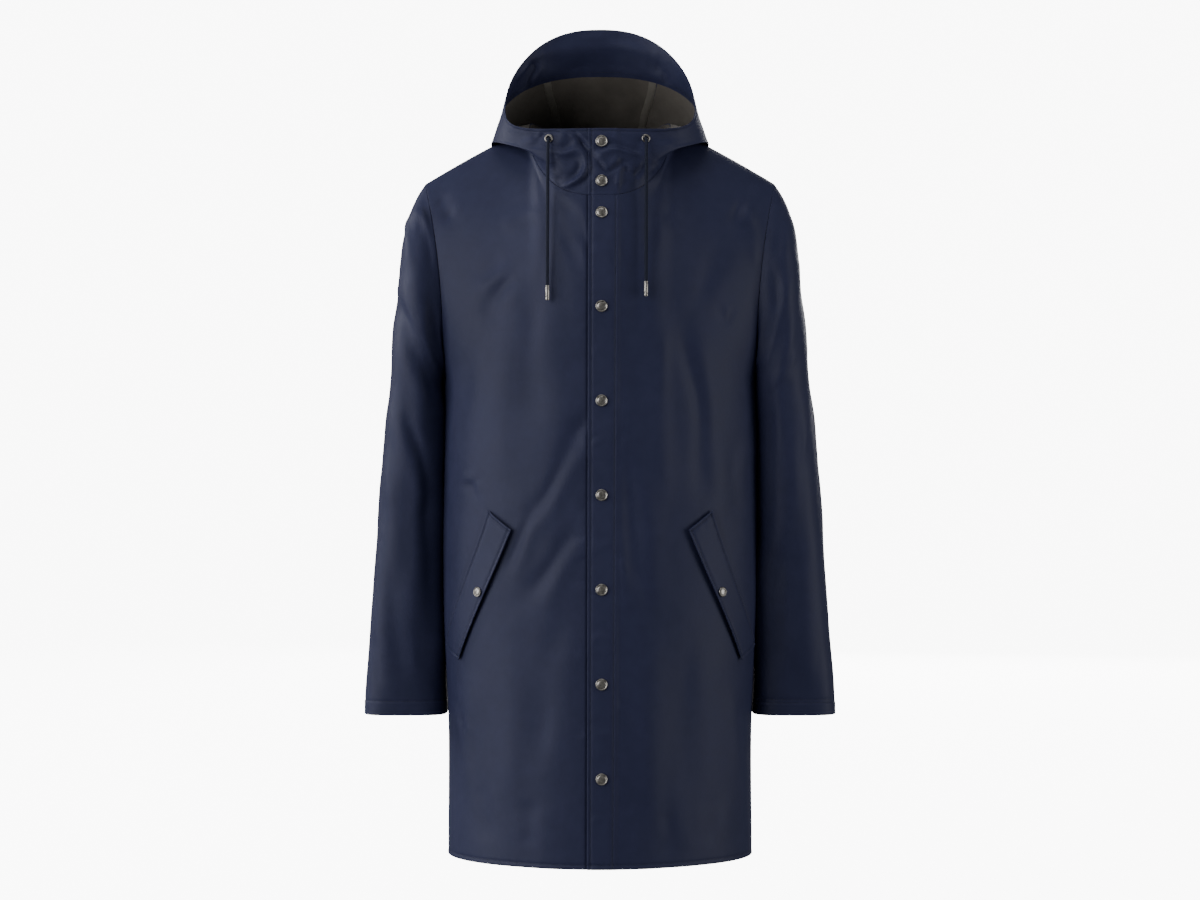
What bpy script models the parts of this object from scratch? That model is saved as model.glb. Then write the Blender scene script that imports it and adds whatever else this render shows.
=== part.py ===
# A hooded raincoat, filled out with no wearer: straight body, set-in sleeves,
# a lapped front with nine snaps, two slanted pocket flaps and a three-panel
# hood worn down, its rim standing up behind the neck.
#
# Metres, +Z up. The coat faces -Y, and its left side is at +X. The origin is
# at the base of the neck, in the middle of the coat.
#
# Every cloth piece is a closed wall. Its outer face is a grid of points worked
# out from loops round the body, the neck, the hood or an arm. The inner face
# is the same grid moved in along the normals, and a rim joins the two. A loop
# is named by its points at the front, at the side and at the back, and a point
# on it by its angle: 0 at the centre front, 90 degrees at the wearer's left
# side, 180 at the centre back, and negative on the wearer's right.

import math
from collections import namedtuple

import bmesh
import bpy
import numpy as np
from mathutils import Matrix, Vector
from mathutils.bvhtree import BVHTree

# ---------------------------------------------------------------- sizes

WALL = 0.0012            # the coated cloth
SEAM_GAP = 0.0003        # between two pieces along a seam
LAY_GAP = 0.0004         # between a piece and the layer under it
FLAP_GAP = 0.0009        # between a pocket flap and the front, at its seam
FLAP_STAND = 0.0024      # how much further the flap's free edge stands off
METAL_GAP = 0.0003       # between a metal piece and the cloth

HEM_Z = -0.912
ARMPIT_Z = -0.295

FREE_EDGE = (-0.0146, -0.0162)    # x of the upper front's edge: neck, hem
UNDER_EDGE = (0.0198, 0.0158)     # x of the line where the under front ends
LAP_RUN_OUT = 0.0085              # width over which the lap comes down again

NECK_STEPS = 6           # quarter of the neck seam
SHOULDER_STEPS = 5       # shoulder seam, neck to sleeve
ARM_STEPS = 11           # half of the armhole
BODY_STEPS = 11          # hem to armpit
NECK_ON_RING = 28.0      # angle on the chest's ring that is under the neck's side
CHEST_PULL = 0.42        # how far up a panel's column the chest's upright run pulls
FOLD_END_SHARE = 0.6     # how much of a fold's height is left at its ends
FOLD_END_RUN = 4         # how fast a fold grows in from its ends
SLEEVE_FOLD_RUN = 0.02   # from the sleeve's edge, where its front or back folds grow in
SEAM_VALLEY = 0.3        # cosine between two panels at a seam, under which it is a valley
SEAT_LOOK = 0.01         # how far above the cloth a metal piece's seat is looked for from
SEAT_POINTS = 8          # places round a metal piece where the cloth's height is taken

Loop = namedtuple("Loop", "front side back front_power back_power")

# Loops of the body below the armholes, as half width, depth in front of the
# origin and depth behind it.
BODY_RINGS = (
    # z, half_width, front, back
    (-0.912, 0.1970, 0.1500, 0.1380),
    (-0.720, 0.1975, 0.1490, 0.1340),
    (-0.620, 0.2025, 0.1475, 0.1310),
    (-0.500, 0.2045, 0.1450, 0.1300),
    (-0.400, 0.2045, 0.1430, 0.1320),
    (-0.295, 0.2035, 0.1400, 0.1360),
)
BODY_POWER = 2.05

# Loops of the hood, from its rim to the neck seam. front and back are (y, z),
# side is (x, y, z), and seam is the panel seam's angle from the centre back.
HOOD_RINGS = (
    # front, side, back, front_power, back_power, seam
    ((-0.1210, 0.0135), (0.1215, -0.062, 0.048), (0.015, 0.159), 2.3, 2.4, 29),
    ((-0.1220, -0.001), (0.1275, -0.047, 0.034), (0.034, 0.100), 2.3, 2.4, 29),
    ((-0.1230, -0.012), (0.1335, -0.030, 0.022), (0.078, 0.052), 2.3, 2.3, 25),
    ((-0.1240, -0.022), (0.1380, -0.012, 0.0115), (0.135, 0.006), 2.3, 2.2, 23),
    ((-0.1250, -0.032), (0.1410, 0.000, 0.0065), (0.180, -0.048), 2.3, 2.2, 23),
    ((-0.1258, -0.042), (0.1300, 0.002, 0.0165), (0.178, -0.100), 2.4, 2.2, 24),
    ((-0.1265, -0.052), (0.1150, 0.002, 0.029), (0.140, -0.085), 2.5, 2.2, 26),
    ((-0.1273, -0.062), (0.0990, 0.001, 0.037), (0.106, -0.020), 2.7, 2.2, 28),
    ((-0.1280, -0.071), (0.0920, 0.000, 0.029), (0.083, 0.018), 2.8, 2.2, 30),
)
HOOD_ROWS = (0, 0.5, 1, 1.5, 2, 2.5, 3, 3.5, 4, 4.5, 5, 5.5, 6, 6.5, 7, 7.5, 8)
FACING_ROW = 1           # the hood's loop where the facing ends

# Shoulder seam: straight from the neck to the shoulder point.
SHOULDER_POINT = (0.2265, 0.0, -0.0445)
SHOULDER_BOW = 0.0025

# Loops of a sleeve, from the armhole to the cuff, at the wearer's left: the
# outermost and the innermost point, the middle's y, the half depth and how far
# the loop's front and back are scooped in towards the body.
SLEEVE_RINGS = (
    # outer (x, z), inner (x, z), middle_y, half_depth, scoop, power
    ((0.2265, -0.0445), (0.2035, -0.295), 0.000, 0.062, 0.010, 2.1),
    ((0.2370, -0.0610), (0.2060, -0.297), 0.000, 0.067, 0.004, 2.1),
    ((0.2470, -0.0840), (0.2085, -0.301), 0.002, 0.072, 0.000, 2.1),
    ((0.2565, -0.1180), (0.2080, -0.307), 0.007, 0.077, 0.000, 2.1),
    ((0.2615, -0.1640), (0.2072, -0.319), 0.014, 0.080, 0.000, 2.1),
    ((0.2680, -0.2300), (0.2063, -0.346), 0.021, 0.083, 0.000, 2.1),
    ((0.2735, -0.3050), (0.2060, -0.388), 0.026, 0.082, 0.000, 2.1),
    ((0.2820, -0.4030), (0.2058, -0.455), 0.028, 0.078, 0.000, 2.2),
    ((0.2910, -0.5070), (0.2055, -0.535), 0.028, 0.070, 0.000, 2.3),
    ((0.2990, -0.6110), (0.2040, -0.622), 0.025, 0.060, 0.000, 2.6),
    ((0.3050, -0.6960), (0.2000, -0.699), 0.020, 0.050, 0.000, 3.0),
    ((0.3060, -0.7290), (0.1995, -0.729), 0.018, 0.047, 0.000, 3.2),
)
SLEEVE_ROWS = (0, 0.5, 1, 2, 3, 4, 5, 6, 6.7, 7.3, 8, 8.6, 9.2, 10, 11)

# Soft folds, as straight lines in the view from the front or the back: from
# (x0, z0) to (x1, z1), the half width across, and the height, which is
# negative for a trough.
FRONT_FOLDS = (
    # x0, z0, x1, z1, half_width, height
    (-0.020, -0.360, -0.075, -0.480, 0.012, -0.0030),
    (-0.035, -0.490, -0.095, -0.590, 0.014, -0.0030),
    (-0.100, -0.170, -0.140, -0.260, 0.016, -0.0035),
    (-0.165, -0.200, -0.105, -0.155, 0.014, 0.0025),
    (-0.060, -0.100, -0.030, -0.230, 0.010, -0.0020),
    (-0.090, -0.300, -0.115, -0.440, 0.014, -0.0020),
    (-0.060, -0.640, -0.070, -0.850, 0.022, -0.0025),
    (-0.140, -0.700, -0.130, -0.880, 0.020, 0.0020),
    (0.105, -0.210, 0.125, -0.420, 0.014, -0.0040),
    (0.080, -0.200, 0.082, -0.430, 0.014, 0.0025),
    (0.175, -0.080, 0.168, -0.150, 0.012, -0.0030),
    (0.150, -0.330, 0.150, -0.450, 0.014, 0.0020),
    (0.040, -0.380, 0.070, -0.620, 0.016, -0.0030),
    (0.090, -0.640, 0.100, -0.850, 0.020, -0.0025),
    (0.050, -0.600, 0.055, -0.880, 0.016, 0.0020),
)
BACK_FOLDS = (
    # x0, z0, x1, z1, half_width, height
    (-0.120, -0.130, -0.080, -0.330, 0.016, -0.0035),
    (0.125, -0.140, 0.085, -0.350, 0.016, -0.0035),
    (-0.045, -0.330, -0.055, -0.800, 0.020, 0.0035),
    (0.010, -0.380, 0.000, -0.880, 0.020, -0.0035),
    (0.060, -0.350, 0.070, -0.820, 0.020, 0.0035),
    (-0.120, -0.450, -0.130, -0.880, 0.022, -0.0030),
    (0.130, -0.480, 0.135, -0.880, 0.022, -0.0030),
)
# On the left sleeve. The right one has the same folds, of another height.
SLEEVE_FRONT_FOLDS = (
    # x0, z0, x1, z1, half_width, height
    (0.258, -0.150, 0.214, -0.310, 0.011, -0.0045),
    (0.262, -0.230, 0.240, -0.420, 0.012, -0.0045),
    (0.240, -0.400, 0.228, -0.600, 0.014, -0.0035),
    (0.268, -0.260, 0.276, -0.420, 0.010, 0.0030),
)
SLEEVE_BACK_FOLDS = (
    # x0, z0, x1, z1, half_width, height
    (0.256, -0.170, 0.230, -0.285, 0.012, -0.0045),
    (0.266, -0.290, 0.238, -0.410, 0.012, -0.0040),
    (0.268, -0.420, 0.240, -0.560, 0.012, -0.0035),
)
SLEEVE_FOLD_SHARE = {"left": 0.7, "right": 1.0}

# Pocket flaps: the angle on the body's ring and the height of each corner.
FLAP_CORNERS = (
    # angle, z
    (32.0, -0.4900),        # top, free edge
    (43.0, -0.4660),        # top, sewn edge
    (79.0, -0.6410),        # bottom, sewn edge
    (62.0, -0.6570),        # bottom, free edge
)
FLAP_BOW = (4.0, 2.0)    # degrees that the sewn and the free edge bow forwards, half-way down
FLAP_LONG_STEPS = 14
FLAP_CROSS_STEPS = 4

# Snaps: a domed cap in a ring. Radius and height of each step of its profile.
SNAP_RADIUS = 0.0075
POCKET_SNAP_RADIUS = 0.0064
SNAP_X = 0.0019
COLLAR_SNAP_Z = (-0.003, -0.053)
FIRST_FRONT_SNAP_Z = -0.093
SNAP_PITCH = 0.1177
FRONT_SNAPS = 7
SNAP_PROFILE = (
    # share of the radius, height
    (0.00, 0.0000),
    (0.88, 0.0000),
    (1.00, 0.0009),
    (0.90, 0.0022),
    (0.72, 0.0017),
    (0.38, 0.0023),
    (0.00, 0.0025),
)
FLAP_SNAP_PLACE = (0.50, 0.78)    # share along the flap from the top, and across

# Eyelets: a rolled ring.
EYELET_X = {"left": 0.0575, "right": -0.0642}
EYELET_Z = 0.0012
EYELET_PROFILE = (
    # radius, height
    (0.0027, 0.0000),
    (0.0052, 0.0000),
    (0.0054, 0.0007),
    (0.0042, 0.0014),
    (0.0027, 0.0009),
)

# Drawcords: each free end leaves its eyelet and hangs down the front.
CORD_RADIUS = 0.002
CORD_POINT_EVERY = 0.005
CORD_ROUTES = {
    # x, y, z of the points that a cord passes, from its eyelet down
    "left": (
        (0.0576, -0.1168, 0.0012),
        (0.0582, -0.1213, -0.0002),
        (0.0582, -0.1246, -0.0060),
        (0.0580, -0.1262, -0.0150),
        (0.0580, -0.1275, -0.0400),
        (0.0578, -0.1310, -0.0800),
        (0.0576, -0.1365, -0.1200),
        (0.0575, -0.1395, -0.1500),
        (0.0574, -0.1402, -0.1793),
    ),
    "right": (
        (-0.0643, -0.1157, 0.0012),
        (-0.0649, -0.1202, -0.0002),
        (-0.0652, -0.1234, -0.0060),
        (-0.0653, -0.1250, -0.0150),
        (-0.0655, -0.1258, -0.0400),
        (-0.0656, -0.1285, -0.0800),
        (-0.0657, -0.1345, -0.1200),
        (-0.0657, -0.1375, -0.1500),
        (-0.0657, -0.1382, -0.1843),
    ),
}
AGLET_PROFILE = (
    # radius, height along the cord
    (0.0000, 0.0000),
    (0.0026, 0.0000),
    (0.0026, 0.0180),
    (0.0021, 0.0185),
    (0.0000, 0.0185),
)

CLOTH_COLOUR = (0.030, 0.036, 0.062, 1.0)
METAL_COLOUR = (0.62, 0.60, 0.56, 1.0)
CORD_COLOUR = (0.020, 0.024, 0.042, 1.0)

# ---------------------------------------------------------------- curves


def smooth_between(stations, values, at):
    """The value at a place, on a smooth curve through the stations' values."""
    stations = np.asarray(stations, float)
    values = np.asarray(values, float)
    slopes = np.gradient(values, stations, axis=0)
    i = int(np.clip(np.searchsorted(stations, at) - 1, 0, len(stations) - 2))
    span = stations[i + 1] - stations[i]
    s = (at - stations[i]) / span
    held = values[i] * (1 + 2 * s) + slopes[i] * span * s
    next_held = values[i + 1] * (3 - 2 * s) - slopes[i + 1] * span * (1 - s)
    return held * (1 - s) ** 2 + next_held * s * s


def squared(angle, power):
    """Cosine and sine of an angle, squared off: a power of 2 is a circle."""
    c = math.cos(angle)
    s = math.sin(angle)
    return math.copysign(abs(c) ** (2 / power), c), math.copysign(abs(s) ** (2 / power), s)


def loop_point(loop, degrees):
    """The point of a loop at an angle."""
    angle = math.radians(degrees)
    power = loop.front_power if math.cos(angle) > 0 else loop.back_power
    c, s = squared(angle, power)
    front = np.array(loop.front)
    back = np.array(loop.back)
    side = np.array(loop.side[1:])
    y, z = side + (front - back) / 2 * c + ((front + back) / 2 - side) * c * c
    return np.array((loop.side[0] * s, y, z))


def angle_at_x(loop, x):
    """The angle, on the front half of a loop, at which the loop is at x."""
    share = min(abs(x) / loop.side[0], 1.0) ** (loop.front_power / 2)
    return math.copysign(math.degrees(math.asin(share)), x)


def body_loop(z):
    rings = np.array(BODY_RINGS)
    half_width, front, back = smooth_between(rings[:, 0], rings[:, 1:], z)
    return Loop((-front, z), (half_width, 0.0, z), (back, z), BODY_POWER, BODY_POWER)


def hood_loop(row):
    """The hood's loop at a place in HOOD_RINGS, and its panel seam's angle."""
    rings = np.array([(*r[0], *r[1], *r[2], *r[3:]) for r in HOOD_RINGS])
    v = smooth_between(range(len(rings)), rings, row)
    return Loop(v[0:2], v[2:5], v[5:7], v[7], v[8]), v[9]


def neck_loop():
    return hood_loop(len(HOOD_RINGS) - 1)[0]


def sleeve_ring_point(ring, degrees):
    """A point of a sleeve's loop: 0 outermost, 90 at the front, 180 innermost."""
    outer, inner, middle_y, half_depth, scoop, power = ring
    c, s = squared(math.radians(degrees), power)
    x, z = (np.array(outer) + inner) / 2 + (np.array(outer) - inner) / 2 * c
    return np.array((x - scoop * s * s, middle_y - half_depth * s, z))


def shoulder_point(share):
    """A point of the left shoulder seam, 0 at the neck and 1 at the sleeve."""
    neck = loop_point(neck_loop(), 90)
    point = neck + (np.array(SHOULDER_POINT) - neck) * share
    point[2] += SHOULDER_BOW * 4 * share * (1 - share)
    return point


# ---------------------------------------------------------------- grids


def grid_normals(grid, wraps=False):
    """Unit normals of a grid of points, from the grid's own directions."""
    down = np.gradient(grid, axis=0)
    if wraps:
        across = np.roll(grid, -1, axis=1) - np.roll(grid, 1, axis=1)
    else:
        across = np.gradient(grid, axis=1)
    normals = np.cross(across, down)
    return normals / np.linalg.norm(normals, axis=2, keepdims=True)


def fold_height(points, folds):
    """How far the folds move each point out, from its place in x and z."""
    place = points[..., (0, 2)]
    total = np.zeros(place.shape[:-1])
    for x0, z0, x1, z1, half_width, height in folds:
        start = np.array((x0, z0))
        run = np.array((x1, z1)) - start
        length = np.linalg.norm(run)
        along = ((place - start) @ run) / length ** 2
        aside = np.linalg.norm(place - start - np.clip(along, 0, 1)[..., None] * run, axis=-1)
        fade = np.clip(np.minimum(along, 1 - along) * FOLD_END_RUN + FOLD_END_SHARE, 0, 1)
        total += height * fade * np.exp(-(aside / half_width) ** 2)
    return total


def edge_fade(shape, rows=(True, True), columns=(True, True), cells=2):
    """1 inside a grid, falling to 0 at the edges that are sewn to others."""
    fade = np.ones(shape)
    for axis, ends in ((0, rows), (1, columns)):
        place = np.arange(shape[axis])
        keep = np.ones(shape[axis])
        if ends[0]:
            keep = np.minimum(keep, place / cells)
        if ends[1]:
            keep = np.minimum(keep, (shape[axis] - 1 - place) / cells)
        keep = np.clip(keep, 0, 1)
        fade *= keep[:, None] if axis == 0 else keep[None, :]
    return fade


def share_normals(first, second):
    """Give the two sides of a seam the same normals, unless it is a sharp valley."""
    together = first + second
    together /= np.linalg.norm(together, axis=-1, keepdims=True)
    alike = (first * second).sum(axis=-1, keepdims=True) > SEAM_VALLEY
    first[...] = np.where(alike, together, first)
    second[...] = np.where(alike, together, second)


def pull_back(grid, normals, edges, gap=SEAM_GAP / 2):
    """Draw the sewn edges of a grid back, so that a seam keeps its gap."""
    moved = grid.copy()
    steps = {
        "first row": (np.s_[0], np.s_[1]),
        "last row": (np.s_[-1], np.s_[-2]),
        "first column": (np.s_[:, 0], np.s_[:, 1]),
        "last column": (np.s_[:, -1], np.s_[:, -2]),
    }
    for edge in edges:
        at, inside = steps[edge]
        way = grid[inside] - grid[at]
        way -= (way * normals[at]).sum(axis=-1, keepdims=True) * normals[at]
        moved[at] += way / np.linalg.norm(way, axis=-1, keepdims=True) * gap
    return moved


# ---------------------------------------------------------------- objects


def make_material(name, colour, roughness, metallic):
    material = bpy.data.materials.new(name)
    material.use_nodes = True
    shader = material.node_tree.nodes["Principled BSDF"]
    shader.inputs["Base Color"].default_value = colour
    shader.inputs["Roughness"].default_value = roughness
    shader.inputs["Metallic"].default_value = metallic
    return material


def mesh_object(name, points, faces, material, smooth_angle=60):
    mesh = bpy.data.meshes.new(name)
    mesh.from_pydata([tuple(p) for p in points], [], faces)
    shape = bmesh.new()
    shape.from_mesh(mesh)
    bmesh.ops.recalc_face_normals(shape, faces=shape.faces)
    shape.to_mesh(mesh)
    shape.free()
    mesh.shade_smooth()
    mesh.set_sharp_from_angle(angle=math.radians(smooth_angle))
    mesh.materials.append(material)
    made = bpy.data.objects.new(name, mesh)
    bpy.context.scene.collection.objects.link(made)
    return made


def grid_faces(rows, columns, wraps, first_index=0):
    count = columns if wraps else columns - 1
    faces = []
    for r in range(rows - 1):
        for c in range(count):
            n = (c + 1) % columns
            a, b = first_index + r * columns + c, first_index + r * columns + n
            faces += [(a, b, b + columns), (a, b + columns, a + columns)]
    return faces


def wall(name, outer, normals, material, wraps=False, thickness=WALL):
    """A closed wall: an outer grid, the same grid moved in, and the rim."""
    rows, columns = outer.shape[:2]
    inner = outer - normals * thickness
    points = np.concatenate((outer.reshape(-1, 3), inner.reshape(-1, 3)))
    size = rows * columns
    faces = grid_faces(rows, columns, wraps)
    faces += [f[::-1] for f in grid_faces(rows, columns, wraps, size)]
    if wraps:
        edges = [[r * columns + c for c in range(columns)] for r in (0, rows - 1)]
        edges = [edge + edge[:1] for edge in edges]
    else:
        round_trip = [c for c in range(columns)]
        round_trip += [r * columns + columns - 1 for r in range(1, rows)]
        round_trip += [(rows - 1) * columns + c for c in range(columns - 2, -1, -1)]
        round_trip += [r * columns for r in range(rows - 2, -1, -1)]
        edges = [round_trip]
    for edge in edges:
        faces += [(a, b, b + size, a + size) for a, b in zip(edge, edge[1:])]
    return mesh_object(name, points, faces, material)


def turned(name, profile, centre, axis, material, segments=14, ring=False):
    """A piece turned round an axis through its centre, from (radius, height)."""
    turn = Vector(axis).to_track_quat("Z", "Y").to_matrix().to_4x4()
    place = Matrix.Translation(Vector(centre)) @ turn
    points = []
    rings = []
    for radius, height in profile:
        count = segments if radius > 0 else 1
        rings.append(list(range(len(points), len(points) + count)))
        for k in range(count):
            angle = 2 * math.pi * k / segments
            points.append(place @ Vector((radius * math.cos(angle), radius * math.sin(angle), height)))
    pairs = list(zip(rings, rings[1:]))
    if ring:
        pairs.append((rings[-1], rings[0]))
    faces = []
    for a, b in pairs:
        for k in range(segments):
            n = (k + 1) % segments
            corners = [a[k % len(a)], a[n % len(a)], b[n % len(b)], b[k % len(b)]]
            faces.append(tuple(dict.fromkeys(corners)))
    return mesh_object(name, points, faces, material, smooth_angle=30)


# ---------------------------------------------------------------- body

SIDES = {"left": 1, "right": -1}


def lap_stations(side, z):
    """Where the columns of the lap are, in x counted towards the piece's own side."""
    neck_z = neck_loop().front[1]
    down = min(max((neck_z - z) / (neck_z - HEM_Z), 0), 1)
    free = FREE_EDGE[0] + (FREE_EDGE[1] - FREE_EDGE[0]) * down
    under = UNDER_EDGE[0] + (UNDER_EDGE[1] - UNDER_EDGE[0]) * down
    middle = (free + under) / 2
    if side == "left":
        return (free, middle, under, under + LAP_RUN_OUT)
    return (LAY_GAP - under, -middle, -free, -free + LAP_RUN_OUT)


def neck_angles(side):
    """The neck seam's angles on a front, from its edge to the shoulder seam."""
    loop = neck_loop()
    lap = [angle_at_x(loop, x) for x in lap_stations(side, loop.front[1])]
    return lap + [90 * i / NECK_STEPS for i in range(2, NECK_STEPS + 1)]


def front_ring_angles(side, z):
    """The angles of a front's columns on the body's loop at a height."""
    loop = body_loop(z)
    lap = [angle_at_x(loop, x) for x in lap_stations(side, z)]
    under_neck = np.linspace(lap[-1], NECK_ON_RING, NECK_STEPS)[1:]
    under_shoulder = np.linspace(NECK_ON_RING, 90, SHOULDER_STEPS + 1)[1:]
    return lap + list(under_neck) + list(under_shoulder)


def back_ring_angles():
    """The angles of the back's columns, from the left side seam to the right."""
    shoulder = np.linspace(90, 180 - NECK_ON_RING, SHOULDER_STEPS + 1)
    neck = np.linspace(180 - NECK_ON_RING, 180 + NECK_ON_RING, 2 * NECK_STEPS + 1)[1:-1]
    return list(shoulder) + list(neck) + [360 - a for a in shoulder[::-1]]


def fall_handle(kind, turn):
    """Which way a panel falls from its top edge: at the neck's centre, and at the shoulder."""
    centre = {"front": (0, -0.016, -0.075), "back": (0, 0.024, -0.075)}[kind]
    shoulder = {"front": (0, -0.085, -0.034), "back": (0, 0.085, -0.034)}[kind]
    return np.array(centre) + (np.array(shoulder) - centre) * turn


def neck_turn(degrees):
    """How far a panel's fall has turned from the neck's centre to the shoulder."""
    return abs(math.sin(math.radians(degrees))) ** 4


def upper_columns(lower, tops, turns, kind):
    """Columns from the chest up to the top edge, each a cubic curve."""
    share = np.linspace(0, 1, ARM_STEPS + 1)[:, None, None]
    lower = np.array(lower)
    tops = np.array(tops)
    rise = (tops - lower)[:, 2:3] * np.array((0, 0, CHEST_PULL))
    falls = np.array([fall_handle(kind, t) for t in turns])
    curve = lower * (1 - share) ** 3 + (lower + rise) * 3 * share * (1 - share) ** 2
    return curve + (tops + falls) * 3 * share ** 2 * (1 - share) + tops * share ** 3


def fit_armhole(grid, column, first, half):
    """Bend the outer columns of a grid so that its edge runs along the armhole."""
    angles = np.linspace(180, 0, ARM_STEPS + 1) * half
    loop = np.array([sleeve_ring_point(SLEEVE_RINGS[0], a) for a in angles])
    loop[:, 0] *= math.copysign(1, grid[0, column, 0])
    miss = loop - grid[:, column]
    reach = np.abs(np.arange(grid.shape[1]) - first)
    reach = np.clip(1 - reach / SHOULDER_STEPS, 0, 1) ** 1.5
    return grid + miss[:, None] * reach[None, :, None]


def front_grid(side):
    sign = SIDES[side]
    heights = np.linspace(HEM_Z, ARMPIT_Z, BODY_STEPS + 1)
    lower = np.array([[loop_point(body_loop(z), a) for a in front_ring_angles(side, z)] for z in heights])
    angles = neck_angles(side)
    tops = [loop_point(neck_loop(), a) for a in angles]
    turns = [neck_turn(a) for a in angles]
    for j in range(1, SHOULDER_STEPS + 1):
        tops.append(shoulder_point(j / SHOULDER_STEPS))
        turns.append(1.0)
    upper = upper_columns(lower[-1], tops, turns, "front")
    upper = fit_armhole(upper, -1, upper.shape[1] - 1, 1)
    grid = np.concatenate((lower[:-1], upper))
    grid[..., 0] *= sign
    return grid


def back_grid():
    heights = np.linspace(HEM_Z, ARMPIT_Z, BODY_STEPS + 1)
    lower = np.array([[loop_point(body_loop(z), a) for a in back_ring_angles()] for z in heights])
    shoulders = [shoulder_point(j / SHOULDER_STEPS) for j in range(SHOULDER_STEPS, 0, -1)]
    necks = [loop_point(neck_loop(), a) for a in np.linspace(90, 270, 2 * NECK_STEPS + 1)]
    mirrored = [p * (-1, 1, 1) for p in shoulders[::-1]]
    turns = [1.0] * SHOULDER_STEPS
    turns += [neck_turn(a) for a in np.linspace(90, 270, 2 * NECK_STEPS + 1)]
    turns += [1.0] * SHOULDER_STEPS
    upper = upper_columns(lower[-1], shoulders + necks + mirrored, turns, "back")
    upper = fit_armhole(upper, 0, 0, -1)
    upper = fit_armhole(upper, -1, upper.shape[1] - 1, -1)
    return np.concatenate((lower[:-1], upper))


def sleeve_grid(side):
    angles = [180 * k / ARM_STEPS for k in range(2 * ARM_STEPS)]
    rings = np.array([[sleeve_ring_point(ring, a) for a in angles] for ring in SLEEVE_RINGS])
    grid = np.array([smooth_between(range(len(rings)), rings, row) for row in SLEEVE_ROWS])
    grid[..., 0] *= SIDES[side]
    return grid


# ---------------------------------------------------------------- hood


def hood_grid():
    """The whole hood, from the left front's free edge over the back to the right's."""
    rows = []
    for row in HOOD_ROWS:
        loop, seam = hood_loop(row)
        halves = {}
        for side in SIDES:
            lap = [angle_at_x(loop, x) for x in lap_stations(side, loop.front[1])]
            first = 90 * 2 / NECK_STEPS
            panel = np.linspace(first, 180 - seam, 2 * NECK_STEPS - 3)
            halves[side] = lap + list(panel)
        centre = np.linspace(180 - seam, 180 + seam, 5)[1:-1]
        angles = halves["left"] + list(centre) + [360 - a for a in halves["right"][::-1]]
        rows.append([loop_point(loop, a) for a in angles])
    return np.array(rows)


# ---------------------------------------------------------------- trim


def surface_of(grid):
    """A grid as something to measure from."""
    rows, columns = grid.shape[:2]
    return BVHTree.FromPolygons([Vector(p) for p in grid.reshape(-1, 3)], grid_faces(rows, columns, False))


def found_from_front(surface, x, z):
    """The point and the outward normal of a surface, seen from the front."""
    point, normal, _, _ = surface.ray_cast(Vector((x, -1, z)), Vector((0, 1, 0)))
    return point, normal if normal.y < 0 else -normal


def found_from_inside(surface, degrees, z, sign):
    """The point and the outward normal of a surface, seen from the body's axis."""
    target = loop_point(body_loop(z), degrees) * (sign, 1, 1)
    way = Vector((target[0], target[1], 0)).normalized()
    point, normal, _, _ = surface.ray_cast(Vector((0, 0, z)), way)
    return point, normal if normal.dot(way) > 0 else -normal


def seat_of(surface, point, normal, radius):
    """Where a round metal piece sits on a surface: its centre, clear of the cloth, and its axis."""
    across = normal.orthogonal().normalized()
    heights = [0.0]
    axis = normal.copy()
    for k in range(SEAT_POINTS):
        aside = Matrix.Rotation(2 * math.pi * k / SEAT_POINTS, 3, normal) @ across * radius
        near, near_normal, _, _ = surface.ray_cast(point + aside + normal * SEAT_LOOK, -normal)
        if near is None:
            continue
        heights.append((near - point).dot(normal))
        axis += near_normal if near_normal.dot(normal) > 0 else -near_normal
    return point + normal * (max(heights) + METAL_GAP), axis.normalized()


def snap_cap(name, seat, radius, material):
    profile = [(share * radius, height) for share, height in SNAP_PROFILE]
    return turned(name, profile, *seat, material)


def flap_place(along, across):
    """The angle on the body's ring and the height of a place on a pocket flap."""
    top_free, top_sewn, low_sewn, low_free = (np.array(corner) for corner in FLAP_CORNERS)
    bows = [np.array((bow * 4 * along * (1 - along), 0)) for bow in FLAP_BOW]
    sewn = top_sewn + (low_sewn - top_sewn) * along - bows[0]
    free = top_free + (low_free - top_free) * along - bows[1]
    return sewn + (free - sewn) * across


def flap_grid(surface, sign):
    """A pocket flap's middle surface, laid on the front: along it, and across to its free edge."""
    grid = np.empty((FLAP_LONG_STEPS + 1, FLAP_CROSS_STEPS + 1, 3))
    for r in range(FLAP_LONG_STEPS + 1):
        for c in range(FLAP_CROSS_STEPS + 1):
            angle, z = flap_place(r / FLAP_LONG_STEPS, c / FLAP_CROSS_STEPS)
            grid[r, c] = found_from_inside(surface, angle, z, sign)[0]
    return grid


def pocket_flap(name, surface, sign, material):
    grid = flap_grid(surface, sign)
    normals = grid_normals(grid) * sign
    across = np.linspace(0, 1, FLAP_CROSS_STEPS + 1)
    stand = FLAP_GAP + WALL + FLAP_STAND * across ** 2
    outer = grid + normals * stand[None, :, None]
    wall(name, outer, normals, material)
    return outer


def cord_tube(name, route, material):
    """A cord as a tube along a smooth curve through its route's points."""
    route = np.array(route)
    runs = np.concatenate(((0,), np.cumsum(np.linalg.norm(np.diff(route, axis=0), axis=1))))
    count = round(runs[-1] / CORD_POINT_EVERY)
    curve = bpy.data.curves.new(name, "CURVE")
    curve.dimensions = "3D"
    curve.bevel_depth = CORD_RADIUS
    curve.bevel_resolution = 2
    curve.use_fill_caps = True
    spline = curve.splines.new("POLY")
    spline.points.add(count)
    for k in range(count + 1):
        place = smooth_between(runs, route, runs[-1] * k / count)
        spline.points[k].co = (*place, 1)
    curve.materials.append(material)
    made = bpy.data.objects.new(name, curve)
    bpy.context.scene.collection.objects.link(made)


# ---------------------------------------------------------------- build


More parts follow.
